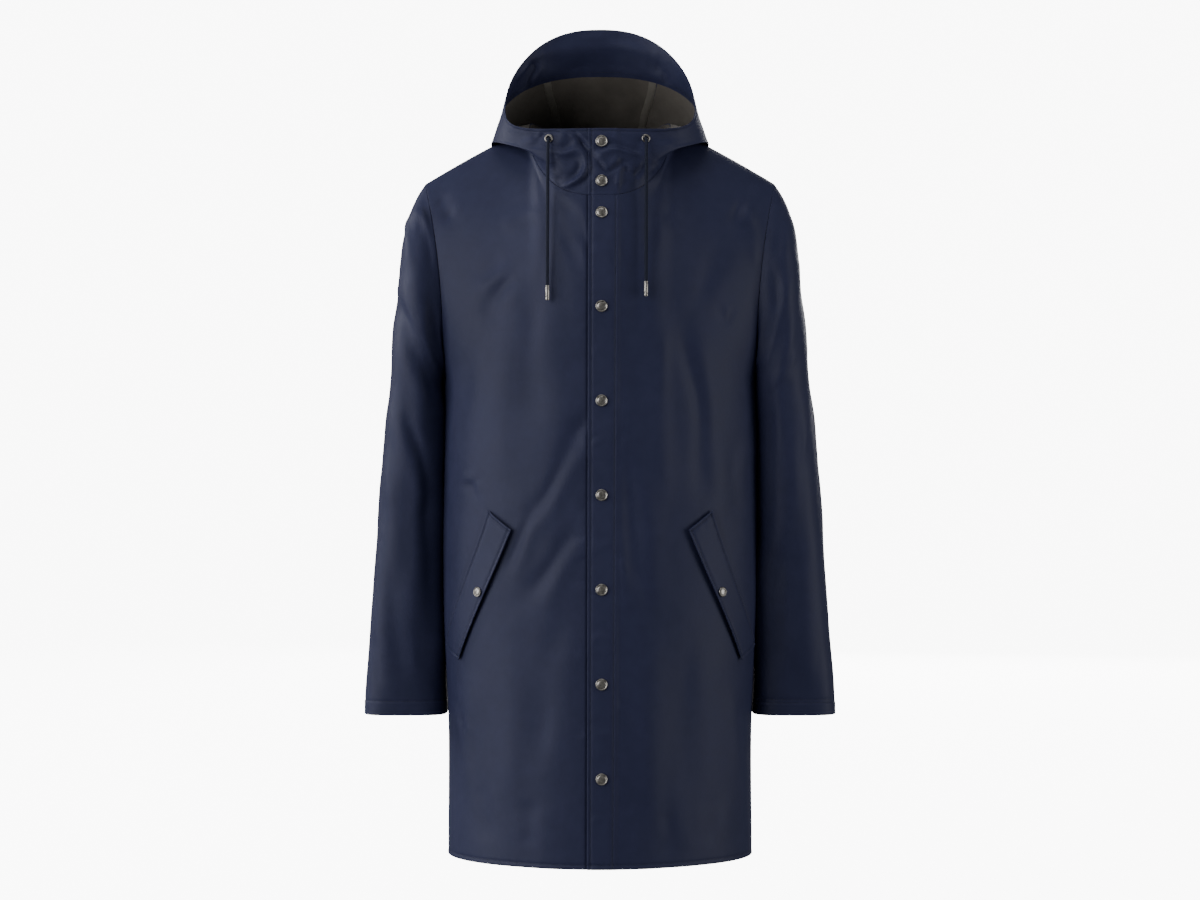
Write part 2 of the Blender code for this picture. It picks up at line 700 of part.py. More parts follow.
def main():
    for leftover in list(bpy.data.objects):
        bpy.data.objects.remove(leftover, do_unlink=True)

    cloth = make_material("coated cloth", CLOTH_COLOUR, 0.42, 0.0)
    metal = make_material("antique silver", METAL_COLOUR, 0.35, 1.0)
    cord = make_material("cord", CORD_COLOUR, 0.80, 0.0)

    # Fronts and back, with their folds. Rows run from the hem up, and columns
    # from a front's free edge to its side, or over the back from left to right.
    fronts = {side: front_grid(side) for side in SIDES}
    normals = {side: grid_normals(fronts[side]) * sign for side, sign in SIDES.items()}
    for side, sign in SIDES.items():
        fade = edge_fade(fronts[side].shape[:2], rows=(False, True), columns=(False, True))
        fade[:, :4] = 0
        height = fade * fold_height(fronts[side], FRONT_FOLDS)
        fronts[side] = fronts[side] + normals[side] * height[..., None]
        normals[side] = grid_normals(fronts[side]) * sign
    back = back_grid()
    fade = edge_fade(back.shape[:2], rows=(False, True))
    back = back + grid_normals(back) * (fade * fold_height(back, BACK_FOLDS))[..., None]
    back_normals = grid_normals(back)

    # Sleeves. Rows run from the armhole to the cuff, and columns round the arm.
    sleeves = {}
    sleeve_normals = {}
    for side, sign in SIDES.items():
        grid = sleeve_grid(side)
        out = grid_normals(grid, wraps=True) * sign
        fade = edge_fade(grid.shape[:2], rows=(True, False), columns=(False, False))
        as_left = grid * (sign, 1, 1)
        forward = -grid[..., 1] / SLEEVE_FOLD_RUN
        height = np.clip(forward, 0, 1) * fold_height(as_left, SLEEVE_FRONT_FOLDS)
        height += np.clip(-forward, 0, 1) * fold_height(as_left, SLEEVE_BACK_FOLDS)
        sleeves[side] = grid + out * (fade * height * SLEEVE_FOLD_SHARE[side])[..., None]
        sleeve_normals[side] = grid_normals(sleeves[side], wraps=True) * sign

    # The hood. Rows run from the rim to the neck seam, and columns from the
    # left front's free edge over the back to the right front's.
    hood = hood_grid()
    hood_normals = -grid_normals(hood)
    side_columns = 4 + 2 * NECK_STEPS - 3
    at_neck = 3 + NECK_STEPS - 1
    left_panel = np.s_[:, :side_columns]
    centre_panel = np.s_[:, side_columns - 1:side_columns + 4]
    right_panel = np.s_[:, side_columns + 3:]

    # Both sides of a seam share their normals, so that the rims lie face to face.
    last = hood.shape[1] - 1
    for side, sign in SIDES.items():
        top = normals[side][-1]
        hood_edge = hood_normals[-1, :at_neck + 1] if sign > 0 else hood_normals[-1, last - at_neck:][::-1]
        share_normals(top[:at_neck + 1], hood_edge)
        back_top = back_normals[-1] if sign > 0 else back_normals[-1, ::-1]
        share_normals(top[at_neck:], back_top[:SHOULDER_STEPS + 1][::-1])
        back_side = back_normals[:, 0] if sign > 0 else back_normals[:, -1]
        share_normals(normals[side][:BODY_STEPS + 1, -1], back_side[:BODY_STEPS + 1])
        armhole = sleeve_normals[side][0]
        share_normals(normals[side][BODY_STEPS:, -1], armhole[:ARM_STEPS + 1][::-1])
        behind = np.roll(armhole, -ARM_STEPS, axis=0)[:ARM_STEPS]
        share_normals(back_side[BODY_STEPS:-1], behind)
        armhole[ARM_STEPS:] = behind
        back_side[-1] = normals[side][-1, -1]
    back_neck = back_normals[-1, SHOULDER_STEPS:-SHOULDER_STEPS]
    share_normals(back_neck, hood_normals[-1, at_neck:last - at_neck + 1])

    # The left front and the left hood panel lie over the right ones.
    lift = WALL + LAY_GAP
    fronts["left"][:, :3] += normals["left"][:, :3] * lift
    hood[:, :3] += hood_normals[:, :3] * lift

    outer = {}
    for side in SIDES:
        grid = pull_back(fronts[side], normals[side], ("last row", "last column"))
        outer["front_" + side] = grid
        wall("front_" + side, grid, normals[side], cloth)
        grid = pull_back(sleeves[side], sleeve_normals[side], ("first row",))
        wall("sleeve_" + side, grid, sleeve_normals[side], cloth, wraps=True)
    grid = pull_back(back, back_normals, ("last row", "first column", "last column"))
    wall("back", grid, back_normals, cloth)

    panels = {
        "hood_left": (left_panel, ("last row", "last column")),
        "hood_centre": (centre_panel, ("last row", "first column", "last column")),
        "hood_right": (right_panel, ("last row", "first column")),
    }
    for name, (columns, edges) in panels.items():
        outer[name] = pull_back(hood[columns], hood_normals[columns], edges)
        wall(name, outer[name], hood_normals[columns], cloth)
    rows = HOOD_ROWS.index(FACING_ROW) + 1
    inside = np.s_[:rows, 3:-3]
    facing = hood[inside] - hood_normals[inside] * (WALL + LAY_GAP)
    wall("hood_facing", facing, hood_normals[inside], cloth)

    # Pocket flaps, each with its snap.
    for side, sign in SIDES.items():
        flap = pocket_flap("pocket_flap_" + side, surface_of(outer["front_" + side]), sign, cloth)
        flap_surface = surface_of(flap)
        point, normal = found_from_inside(flap_surface, *flap_place(*FLAP_SNAP_PLACE), sign)
        seat = seat_of(flap_surface, point, normal, POCKET_SNAP_RADIUS)
        snap_cap("pocket_snap_" + side, seat, POCKET_SNAP_RADIUS, metal)

    # The front's snaps, from the collar down.
    collar = surface_of(outer["hood_left"])
    front = surface_of(outer["front_left"])
    heights = COLLAR_SNAP_Z + tuple(FIRST_FRONT_SNAP_Z - SNAP_PITCH * k for k in range(FRONT_SNAPS))
    for k, z in enumerate(heights):
        surface = collar if z > neck_loop().front[1] else front
        seat = seat_of(surface, *found_from_front(surface, SNAP_X, z), SNAP_RADIUS)
        snap_cap(f"snap_{k + 1}", seat, SNAP_RADIUS, metal)

    # Eyelets, drawcords and their aglets.
    for side in SIDES:
        surface = surface_of(outer["hood_" + side])
        seat = seat_of(surface, *found_from_front(surface, EYELET_X[side], EYELET_Z), EYELET_PROFILE[2][0])
        turned("eyelet_" + side, EYELET_PROFILE, *seat, metal, segments=12, ring=True)
        route = CORD_ROUTES[side]
        cord_tube("drawcord_" + side, route, cord)
        end = Vector(route[-1])
        way = (end - Vector(route[-2])).normalized()
        turned("aglet_" + side, AGLET_PROFILE, end + way * METAL_GAP, way, metal, segments=12)


main()
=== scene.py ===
import math

import bpy
import numpy as np
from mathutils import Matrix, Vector


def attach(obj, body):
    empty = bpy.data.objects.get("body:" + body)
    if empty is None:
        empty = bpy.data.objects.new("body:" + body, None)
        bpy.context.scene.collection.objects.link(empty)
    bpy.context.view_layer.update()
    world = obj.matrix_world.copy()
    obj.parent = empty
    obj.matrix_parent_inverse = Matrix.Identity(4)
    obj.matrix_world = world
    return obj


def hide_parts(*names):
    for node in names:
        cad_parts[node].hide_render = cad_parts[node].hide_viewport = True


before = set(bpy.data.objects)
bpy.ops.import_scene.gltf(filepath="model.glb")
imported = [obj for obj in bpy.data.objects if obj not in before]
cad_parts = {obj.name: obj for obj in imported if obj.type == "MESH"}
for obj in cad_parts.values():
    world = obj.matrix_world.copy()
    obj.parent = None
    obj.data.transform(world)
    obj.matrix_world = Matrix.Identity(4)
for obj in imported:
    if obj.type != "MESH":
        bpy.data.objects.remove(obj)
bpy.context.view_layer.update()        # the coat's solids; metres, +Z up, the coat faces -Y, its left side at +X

print("frame loaded:", len(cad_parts), "nodes")

# The camera stands level in front of the coat.
cameraSetup = {"place": (0.0, -3.4, -0.390), "lens": 78.46, "sensorWidth": 36.0}

camera = bpy.data.objects.new("camera", bpy.data.cameras.new("camera"))
camera.location = cameraSetup["place"]
camera.rotation_euler = (math.radians(90), 0, 0)
camera.data.lens = cameraSetup["lens"]
camera.data.sensor_width = cameraSetup["sensorWidth"]
bpy.context.scene.collection.objects.link(camera)
bpy.context.scene.camera = camera


# Curves and meshes are made from whole arrays.

def smoothBetween(stations, values, at):
    # cubic through the stations: (1-s)^2 (v0 (1+2s) + m0 L s) + s^2 (v1 (3-2s) - m1 L (1-s))
    stations = np.asarray(stations, float)
    values = np.asarray(values, float)
    at = np.asarray(at, float)
    slopes = np.gradient(values, stations, axis=0)
    i = np.clip(np.searchsorted(stations, at) - 1, 0, len(stations) - 2)
    spread = (-1,) + (1,) * (values.ndim - 1)
    length = (stations[i + 1] - stations[i]).reshape(spread)
    s = ((at - stations[i]).reshape(spread)) / length
    held = values[i] * (1 + 2 * s) + slopes[i] * length * s
    following = values[i + 1] * (3 - 2 * s) - slopes[i + 1] * length * (1 - s)
    return held * (1 - s) ** 2 + following * s * s


def smoothStep(x, low, high):
    # s^2 (3 - 2 s), with s from 0 at low to 1 at high
    s = np.clip((x - low) / (high - low), 0, 1)
    return s * s * (3 - 2 * s)


def unit(vectors):
    # each vector over its own length
    return vectors / np.maximum(np.linalg.norm(vectors, axis=-1, keepdims=True), 1e-12)


def gridNormals(grid, wraps):
    # normal = d(grid)/d(column) x d(grid)/d(row)
    down = np.gradient(grid, axis=0)
    if wraps:
        across = np.roll(grid, -1, axis=1) - np.roll(grid, 1, axis=1)
    else:
        across = np.gradient(grid, axis=1)
    return unit(np.cross(across, down))


def runLength(grid, axis):
    # length run along rows or columns from the first one
    steps = np.linalg.norm(np.diff(grid, axis=axis), axis=-1)
    start = np.zeros_like(np.take(steps, [0], axis=axis))
    return np.concatenate((start, np.cumsum(steps, axis=axis)), axis=axis)


def newPiece(name, points, faces, material, corners=None, slots=None, smoothAngle=40):
    # corners is (u, v) for each corner of each face, slots the faces' material numbers
    mesh = bpy.data.meshes.new(name)
    mesh.from_pydata(np.asarray(points, float), [], [tuple(f) for f in faces])
    materials = material if isinstance(material, (list, tuple)) else [material]
    for one in materials:
        mesh.materials.append(one)
    if slots is not None:
        mesh.polygons.foreach_set("material_index", np.asarray(slots, np.int32))
    if corners is not None:
        layer = mesh.uv_layers.new(name="cut")
        layer.data.foreach_set("uv", np.asarray(corners, np.float32).ravel())
    mesh.shade_smooth()
    mesh.set_sharp_from_angle(angle=math.radians(smoothAngle))
    mesh.update()
    piece = bpy.data.objects.new(name, mesh)
    bpy.context.scene.collection.objects.link(piece)
    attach(piece, "root")
    return piece


def gridQuads(index, flip):
    # quads over a grid of point numbers, in rows
    a, b, c, d = index[:-1, :-1], index[1:, :-1], index[1:, 1:], index[:-1, 1:]
    order = (a, d, c, b) if flip else (a, b, c, d)
    return np.stack(order, axis=-1).reshape(-1, 4)


def tubeAlong(path, radii, sides):
    # a ring of points round each point of a path: p + r (cos a * n + sin a * b)
    tangents = unit(np.gradient(path, axis=0))
    helper = np.where(np.abs(tangents[:, :1]) < 0.9, (1.0, 0.0, 0.0), (0.0, 1.0, 0.0))
    across = unit(np.cross(tangents, helper))
    other = np.cross(tangents, across)
    angles = np.arange(sides) * 2 * math.pi / sides
    ring = across[:, None] * np.cos(angles)[None, :, None] + other[:, None] * np.sin(angles)[None, :, None]
    points = path[:, None] + ring * np.asarray(radii)[..., None]
    index = np.arange(len(path) * sides).reshape(len(path), sides)
    index = np.concatenate((index, index[:, :1]), axis=1)
    faces = gridQuads(index, True).tolist()
    faces += [index[0, -2::-1].tolist(), index[-1, :-1].tolist()]
    return points.reshape(-1, 3), faces


class Wire:
    # a shader socket that takes part in sums; numbers stay numbers
    def __init__(self, maker, socket):
        self.maker = maker
        self.socket = socket

    def joined(self, operation, first, second):
        return self.maker.node("ShaderNodeMath", {"operation": operation}, {0: first, 1: second})

    def __add__(self, other):
        return self.joined("ADD", self, other)

    def __radd__(self, other):
        return self.joined("ADD", other, self)

    def __sub__(self, other):
        return self.joined("SUBTRACT", self, other)

    def __rsub__(self, other):
        return self.joined("SUBTRACT", other, self)

    def __mul__(self, other):
        return self.joined("MULTIPLY", self, other)

    def __rmul__(self, other):
        return self.joined("MULTIPLY", other, self)


class Finish:
    # one material, with its Principled shader
    def __init__(self, name, settings):
        self.material = bpy.data.materials.new(name)
        self.material.use_nodes = True
        self.tree = self.material.node_tree
        self.shader = self.tree.nodes["Principled BSDF"]
        for key, value in settings.items():
            self.shader.inputs[key].default_value = value

    def node(self, kind, settings, sockets, output=0):
        made = self.tree.nodes.new(kind)
        for key, value in settings.items():
            if key == "stops":
                for stop, (place, shade) in zip(made.color_ramp.elements, value):
                    stop.position = place
                    stop.color = (shade, shade, shade, 1)
            else:
                setattr(made, key, value)
        for key, value in sockets.items():
            if isinstance(value, Wire):
                self.tree.links.new(value.socket, made.inputs[key])
            else:
                made.inputs[key].default_value = value
        return Wire(self, made.outputs[output])

    def place(self, pattern="Object"):
        return self.node("ShaderNodeTexCoord", {}, {}, pattern)

    def stretched(self, place, scale):
        return self.node("ShaderNodeMapping", {}, {"Vector": place, "Scale": scale})

    def noise(self, place, scale, detail=2.0, roughness=0.5):
        sockets = {"Vector": place, "Scale": scale, "Detail": detail, "Roughness": roughness}
        return self.node("ShaderNodeTexNoise", {}, sockets)

    def ramp(self, value, low, high):
        settings = {"stops": ((low, 0.0), (high, 1.0))}
        return self.node("ShaderNodeValToRGB", settings, {0: value})

    def sine(self, value):
        return self.node("ShaderNodeMath", {"operation": "SINE"}, {0: value})

    def parts(self, place):
        made = self.node("ShaderNodeSeparateXYZ", {}, {0: place})
        return [Wire(self, made.socket.node.outputs[k]) for k in range(3)]

    def tint(self, share, first, second):
        settings = {"data_type": "RGBA"}
        return self.node("ShaderNodeMix", settings, {0: share, 6: (*first, 1), 7: (*second, 1)}, 2)

    def bump(self, height, strength, distance):
        sockets = {"Height": height, "Strength": strength, "Distance": distance}
        return self.node("ShaderNodeBump", {}, sockets)

    def into(self, socket, wire):
        self.tree.links.new(wire.socket, self.shader.inputs[socket])


coatedLook = {
    "deep": (0.0208, 0.0245, 0.0640),      # the coating's colour, linear
    "light": (0.0255, 0.0295, 0.0750),
    "roughness": 0.49,
    "grain": 900.0,                        # grains a metre, roughly
}


def coatedCloth():
    # two shades in slow clouds; grain, specks and soft crinkles stand in the bump
    finish = Finish("coated cloth", {"Specular IOR Level": 0.24})
    place = finish.place()
    broad = finish.noise(place, 9.0, 3.0)
    cloudy = finish.noise(place, 60.0, 3.0)
    grain = finish.noise(place, coatedLook["grain"], 2.0, 0.6)
    speck = finish.noise(place, 2600.0, 1.0)
    crinkle = finish.noise(finish.stretched(place, (1.0, 1.0, 0.45)), 38.0, 4.0, 0.55)
    shade = finish.ramp(broad * 0.6 + cloudy * 0.4, 0.38, 0.64)
    finish.into("Base Color", finish.tint(shade, coatedLook["deep"], coatedLook["light"]))
    finish.into("Roughness", coatedLook["roughness"] + broad * 0.06 + cloudy * 0.05 + grain * 0.06)
    height = grain * 0.7 + speck * 0.3 + cloudy * 0.5 + crinkle * 15.0
    finish.into("Normal", finish.bump(height, 0.16, 0.0002))
    return finish.material


knitLook = {
    "deep": (0.064, 0.057, 0.050),
    "light": (0.140, 0.126, 0.110),
    "wale": 0.0012,          # between two wales, in metres
    "course": 0.0010,
}


def knitBacking():
    # wales and courses are sines along the cloth's own measure
    finish = Finish("knit backing", {"Roughness": 0.9, "Specular IOR Level": 0.2, "Sheen Weight": 0.15})
    u, v, _ = finish.parts(finish.place("UV"))
    waver = finish.noise(finish.place(), 240.0, 2.0)
    wale = finish.sine(u * (2 * math.pi / knitLook["wale"]) + waver * 2.0) * 0.5 + 0.5
    course = finish.sine(v * (2 * math.pi / knitLook["course"]) + waver * 2.0) * 0.5 + 0.5
    loops = wale * (course * 0.6 + 0.4)
    cloudy = finish.noise(finish.place(), 35.0, 4.0)
    shade = finish.ramp(loops * 0.55 + cloudy * 0.6, 0.2, 0.85)
    finish.into("Base Color", finish.tint(shade, knitLook["deep"], knitLook["light"]))
    finish.into("Normal", finish.bump(loops, 0.35, 0.0003))
    return finish.material


def seamTapeLook():
    # ribs are a sine along the tape
    settings = {"Base Color": (0.085, 0.078, 0.068, 1), "Specular IOR Level": 0.4}
    finish = Finish("seam tape", settings)
    u, v, _ = finish.parts(finish.place("UV"))
    ribs = finish.sine(v * (2 * math.pi / 0.0016)) * 0.5 + 0.5
    cloudy = finish.noise(finish.place(), 120.0, 3.0)
    shade = cloudy * 0.7 + ribs * 0.3
    finish.into("Base Color", finish.tint(shade, (0.095, 0.088, 0.078), (0.190, 0.176, 0.155)))
    finish.into("Roughness", 0.45 + cloudy * 0.2)
    finish.into("Normal", finish.bump(ribs * 0.5 + cloudy, 0.2, 0.0003))
    return finish.material


def threadLook():
    # a fine fray of two shades
    finish = Finish("navy thread", {"Roughness": 0.6, "Specular IOR Level": 0.35})
    place = finish.place()
    fray = finish.noise(place, 1800.0, 2.0)
    finish.into("Base Color", finish.tint(fray, (0.010, 0.013, 0.030), (0.024, 0.030, 0.060)))
    finish.into("Normal", finish.bump(fray, 0.4, 0.0002))
    return finish.material


def metalLook():
    # antique silver: bright on what is touched, darker in the hollows
    finish = Finish("antique silver", {"Metallic": 1.0})
    place = finish.place()
    tarnish = finish.noise(place, 420.0, 4.0, 0.6)
    scratch = finish.noise(finish.stretched(place, (1.0, 1.0, 9.0)), 900.0, 3.0)
    shade = finish.ramp(tarnish * 0.7 + scratch * 0.3, 0.32, 0.62)
    finish.into("Base Color", finish.tint(shade, (0.17, 0.16, 0.145), (0.46, 0.44, 0.41)))
    finish.into("Roughness", 0.22 + tarnish * 0.22 + scratch * 0.08)
    finish.into("Normal", finish.bump(scratch * 0.5 + tarnish * 0.5, 0.10, 0.0002))
    return finish.material


def cordLook():
    # two sines that cross make the plait, under a fine fuzz
    finish = Finish("braided cord", {"Roughness": 0.8, "Specular IOR Level": 0.2})
    u, v, _ = finish.parts(finish.place("UV"))
    one = finish.sine(u * 4000.0 + v * 12.566) * 0.5 + 0.5
    two = finish.sine(u * 4000.0 - v * 12.566) * 0.5 + 0.5
    fuzz = finish.noise(finish.place(), 2200.0, 3.0)
    strands = one * two
    shade = strands * 0.7 + fuzz * 0.4
    finish.into("Base Color", finish.tint(shade, (0.007, 0.009, 0.020), (0.022, 0.027, 0.052)))
    finish.into("Normal", finish.bump(strands + fuzz * 0.3, 0.5, 0.0003))
    return finish.material


coated = coatedCloth()
knit = knitBacking()
tape = seamTapeLook()
thread = threadLook()
metal = metalLook()
braid = cordLook()
print("finishes made")


cordSetup = {
    "radius": 0.0020,
    "sides": 16,
    "pointEvery": 0.0007,
    "plaits": 0.0031,        # length of one turn of a strand's bumps
    "bump": 0.07,            # share of the radius
    "left": (
        (0.0576, -0.1168, 0.0012),
        (0.0582, -0.1213, -0.0002),
        (0.0582, -0.1246, -0.0060),
        (0.0580, -0.1262, -0.0150),
        (0.0580, -0.1275, -0.0400),
        (0.0578, -0.1310, -0.0800),
        (0.0576, -0.1365, -0.1200),
        (0.0575, -0.1395, -0.1500),
        (0.0574, -0.1402, -0.1793),
    ),
    "right": (
        (-0.0643, -0.1157, 0.0012),
        (-0.0649, -0.1202, -0.0002),
        (-0.0652, -0.1234, -0.0060),
        (-0.0653, -0.1250, -0.0150),
        (-0.0655, -0.1258, -0.0400),
        (-0.0656, -0.1285, -0.0800),
        (-0.0657, -0.1345, -0.1200),
        (-0.0657, -0.1375, -0.1500),
        (-0.0657, -0.1382, -0.1843),
    ),
}


def cordPath(side):
    # a smooth curve through the route's points, in even steps
    route = np.array(cordSetup[side])
    runs = runLength(route, 0)
    return smoothBetween(runs, route, np.linspace(0, runs[-1], round(runs[-1] / cordSetup["pointEvery"]) + 1))


def makeCord(side):
    # radius = r (1 + b sin(turn + 4 angle) sin(turn - 4 angle)), a plait of eight strands
    path = cordPath(side)
    runs = runLength(path, 0)
    angles = np.arange(cordSetup["sides"]) * 2 * math.pi / cordSetup["sides"]
    turn = runs[:, None] * 2 * math.pi / cordSetup["plaits"]
    plait = np.sin(turn + 4 * angles) * np.sin(turn - 4 * angles)
    radii = cordSetup["radius"] * (1 + cordSetup["bump"] * plait)
    points, faces = tubeAlong(path, radii, cordSetup["sides"])
    columns = cordSetup["sides"]
    u = np.repeat(runs[:-1, None], columns, axis=1)
    du = np.repeat(runs[1:, None], columns, axis=1)
    v = np.repeat(np.arange(columns)[None] / columns, len(runs) - 1, axis=0)
    dv = v + 1 / columns
    corners = np.stack((u, v, u, dv, du, dv, du, v), axis=-1).reshape(-1, 2)
    corners = np.concatenate((corners, np.zeros((2 * columns, 2))))
    piece = newPiece("cord_" + side, points, faces, braid, corners, smoothAngle=60)
    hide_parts("drawcord_" + side)
    return piece, path, runs[-1]


cords = {side: makeCord(side) for side in ("left", "right")}
print("cords made:", {side: round(made[2], 4) for side, made in cords.items()})


# The metal pieces are turned round the axes of their solids.

def solidPoints(node):
    # the vertices of a node's solid
    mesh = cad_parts[node].data
    points = np.empty(len(mesh.vertices) * 3)
    mesh.vertices.foreach_get("co", points)
    return points.reshape(-1, 3)


def solidAxis(node, longest, towards):
    # foot and axis of a round solid, from its spread
    points = np.unique(solidPoints(node).round(7), axis=0)
    centre = (points.max(axis=0) + points.min(axis=0)) / 2
    spread = np.linalg.svd(points - points.mean(axis=0))[2]
    axis = spread[0] if longest else spread[2]
    axis = axis * np.sign(axis @ np.array(towards))
    heights = (points - centre) @ axis
    middle = centre + ((points.mean(axis=0) - centre) - axis * ((points.mean(axis=0) - centre) @ axis))
    return middle + axis * heights.min(), axis


def turnedPiece(name, profile, base, axis, segments, ring=False):
    # profile is (radius, height); p = base + axis h + r (cos a * across + sin a * other)
    helper = (0.0, 0.0, 1.0) if abs(axis[2]) < 0.9 else (1.0, 0.0, 0.0)
    across = unit(np.cross(axis, helper))
    other = np.cross(axis, across)
    profile = np.array(profile, float)
    tips = profile[:, 0] <= 0
    body = profile if ring else profile[~tips]
    angles = np.arange(segments) * 2 * math.pi / segments
    spokes = across * np.cos(angles)[:, None] + other * np.sin(angles)[:, None]
    points = base + body[:, 1, None, None] * axis + spokes[None] * body[:, 0, None, None]
    index = np.arange(len(body) * segments).reshape(len(body), segments)
    index = np.concatenate((index, index[:, :1]), axis=1)
    if ring:
        index = np.concatenate((index, index[:1]))
    faces = gridQuads(index, True).tolist()
    points = points.reshape(-1, 3)
    if not ring:
        ends = np.array([base + axis * profile[0, 1], base + axis * profile[-1, 1]])
        points = np.concatenate((points, ends))
        size = len(points)
        faces += np.stack((index[0, 1:], index[0, :-1], np.full(segments, size - 2)), axis=1).tolist()
        faces += np.stack((index[-1, :-1], index[-1, 1:], np.full(segments, size - 1)), axis=1).tolist()
    piece = newPiece(name, points, faces, metal, smoothAngle=35)
    return piece


snapProfile = (           # shares of the radius, and heights in metres
    (0.000, 0.00000), (0.860, 0.00000), (0.930, 0.00015), (0.985, 0.00055), (1.000, 0.00095),
    (0.985, 0.00145), (0.945, 0.00190), (0.890, 0.00214), (0.830, 0.00205), (0.785, 0.00175),
    (0.755, 0.00152), (0.725, 0.00152), (0.690, 0.00175), (0.600, 0.00206), (0.460, 0.00228),
    (0.300, 0.00242), (0.140, 0.00249), (0.000, 0.00251),
)
eyeletProfile = (         # radius and height of a rolled ring
    (0.00275, 0.00000), (0.00520, 0.00000), (0.00538, 0.00030), (0.00535, 0.00070), (0.00500, 0.00115),
    (0.00450, 0.00138), (0.00390, 0.00142), (0.00330, 0.00128), (0.00290, 0.00105), (0.00270, 0.00070),
    (0.00265, 0.00030),
)
agletProfile = (          # radius and height along the cord
    (0.00000, 0.00000), (0.00235, 0.00000), (0.00258, 0.00025), (0.00260, 0.00100), (0.00232, 0.00160),
    (0.00232, 0.00230), (0.00260, 0.00290), (0.00260, 0.01380), (0.00236, 0.01440), (0.00236, 0.01510),
    (0.00258, 0.01570), (0.00258, 0.01780), (0.00225, 0.01845), (0.00185, 0.01850), (0.00175, 0.01800),
    (0.00000, 0.01795),
)


def makeSnap(node):
    # the cap's profile, scaled to the solid's radius, on the solid's foot
    base, axis = solidAxis(node, False, (0, -1, 0))
    points = solidPoints(node)
    radius = np.linalg.norm(np.cross(points - base, axis), axis=1).max()
    profile = [(share * radius, height) for share, height in snapProfile]
    piece = turnedPiece(node + "_cap", profile, base, axis, 48)
    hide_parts(node)
    return piece


def makeTrim(side):
    # the eyelet and the metal tip
    base, axis = solidAxis("eyelet_" + side, False, (0, -1, 0))
    eyelet = turnedPiece("eyelet_ring_" + side, eyeletProfile, base, axis, 48, ring=True)
    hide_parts("eyelet_" + side)
    base, axis = solidAxis("aglet_" + side, True, (0, 0, -1))
    aglet = turnedPiece("aglet_tip_" + side, agletProfile, base, axis, 40)
    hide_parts("aglet_" + side)


for number in range(1, 10):
    makeSnap(f"snap_{number}")
for side in ("left", "right"):
    makeSnap("pocket_snap_" + side)
    makeTrim(side)
print("snaps, eyelets and aglets made")


# The coat's form is made of loops round the body, the hood and the arms.

coatForm = {
    "hemZ": -0.912,
    "armpitZ": -0.295,
    "freeEdge": (-0.0146, -0.0162),      # x of the upper front's edge: neck, hem
    "underEdge": (0.0198, 0.0158),       # x of the line where the under front ends
    "lapRunOut": 0.0085,
    "lift": 0.0016,                      # of the upper front over the under one
    "underNeck": 28.0,
    "shoulder": (0.2265, 0.0, -0.0445),
    "shoulderBow": 0.0025,
    "chestPull": 0.42,
    "bodyPower": 2.05,
    "rings": (
        # z, half width, front, back
        (-0.912, 0.1970, 0.1500, 0.1380),
        (-0.720, 0.1975, 0.1490, 0.1340),
        (-0.620, 0.2025, 0.1475, 0.1310),
        (-0.500, 0.2045, 0.1450, 0.1300),
        (-0.400, 0.2045, 0.1430, 0.1320),
        (-0.295, 0.2035, 0.1400, 0.1360),
    ),
}

hoodForm = (
    # front y z, side x y z, back y z, front power, back power, seam's angle
    (-0.1210, 0.0135, 0.1215, -0.062, 0.048, 0.015, 0.159, 2.3, 2.4, 29),
    (-0.1220, -0.001, 0.1275, -0.047, 0.034, 0.034, 0.100, 2.3, 2.4, 29),
    (-0.1230, -0.009, 0.1335, -0.030, 0.0245, 0.078, 0.052, 2.3, 2.3, 22.5),
    (-0.1240, -0.015, 0.1380, -0.012, 0.0145, 0.135, 0.006, 2.3, 2.2, 20),
    (-0.1250, -0.022, 0.1410, 0.000, 0.0045, 0.180, -0.048, 2.3, 2.2, 20),
    (-0.1258, -0.037, 0.1300, 0.002, 0.0125, 0.178, -0.100, 2.4, 2.2, 21),
    (-0.1265, -0.050, 0.1150, 0.002, 0.0255, 0.140, -0.085, 2.5, 2.2, 23),
    (-0.1273, -0.062, 0.0990, 0.001, 0.0315, 0.106, -0.020, 2.7, 2.2, 28),
    (-0.1280, -0.071, 0.0920, 0.000, 0.029, 0.083, 0.018, 2.8, 2.2, 30),
)
hoodLast = len(hoodForm) - 1

sleeveForm = (
    # outermost x z, innermost x z, middle's y, half depth, scoop, power
    (0.2265, -0.0445, 0.2035, -0.295, 0.000, 0.062, 0.010, 2.1),
    (0.2370, -0.0610, 0.2050, -0.297, 0.000, 0.067, 0.004, 2.15),
    (0.2470, -0.0840, 0.2058, -0.301, 0.002, 0.072, 0.000, 2.2),
    (0.2565, -0.1180, 0.2058, -0.307, 0.007, 0.077, 0.000, 2.3),
    (0.2615, -0.1640, 0.2055, -0.319, 0.014, 0.080, 0.000, 2.4),
    (0.2680, -0.2300, 0.2053, -0.346, 0.021, 0.083, 0.000, 2.55),
    (0.2735, -0.3050, 0.2053, -0.388, 0.026, 0.082, 0.000, 2.7),
    (0.2820, -0.4030, 0.2053, -0.455, 0.028, 0.078, 0.000, 2.8),
    (0.2910, -0.5070, 0.2050, -0.535, 0.028, 0.070, 0.000, 2.9),
    (0.2990, -0.6110, 0.2038, -0.622, 0.025, 0.060, 0.000, 3.1),
    (0.3050, -0.6990, 0.2000, -0.702, 0.020, 0.050, 0.000, 3.3),
    (0.3060, -0.7325, 0.1995, -0.7325, 0.018, 0.047, 0.000, 3.4),
)

sleeveStitchRow = 10.45      # where a cuff's stitching runs

sides = {"left": 1, "right": -1}


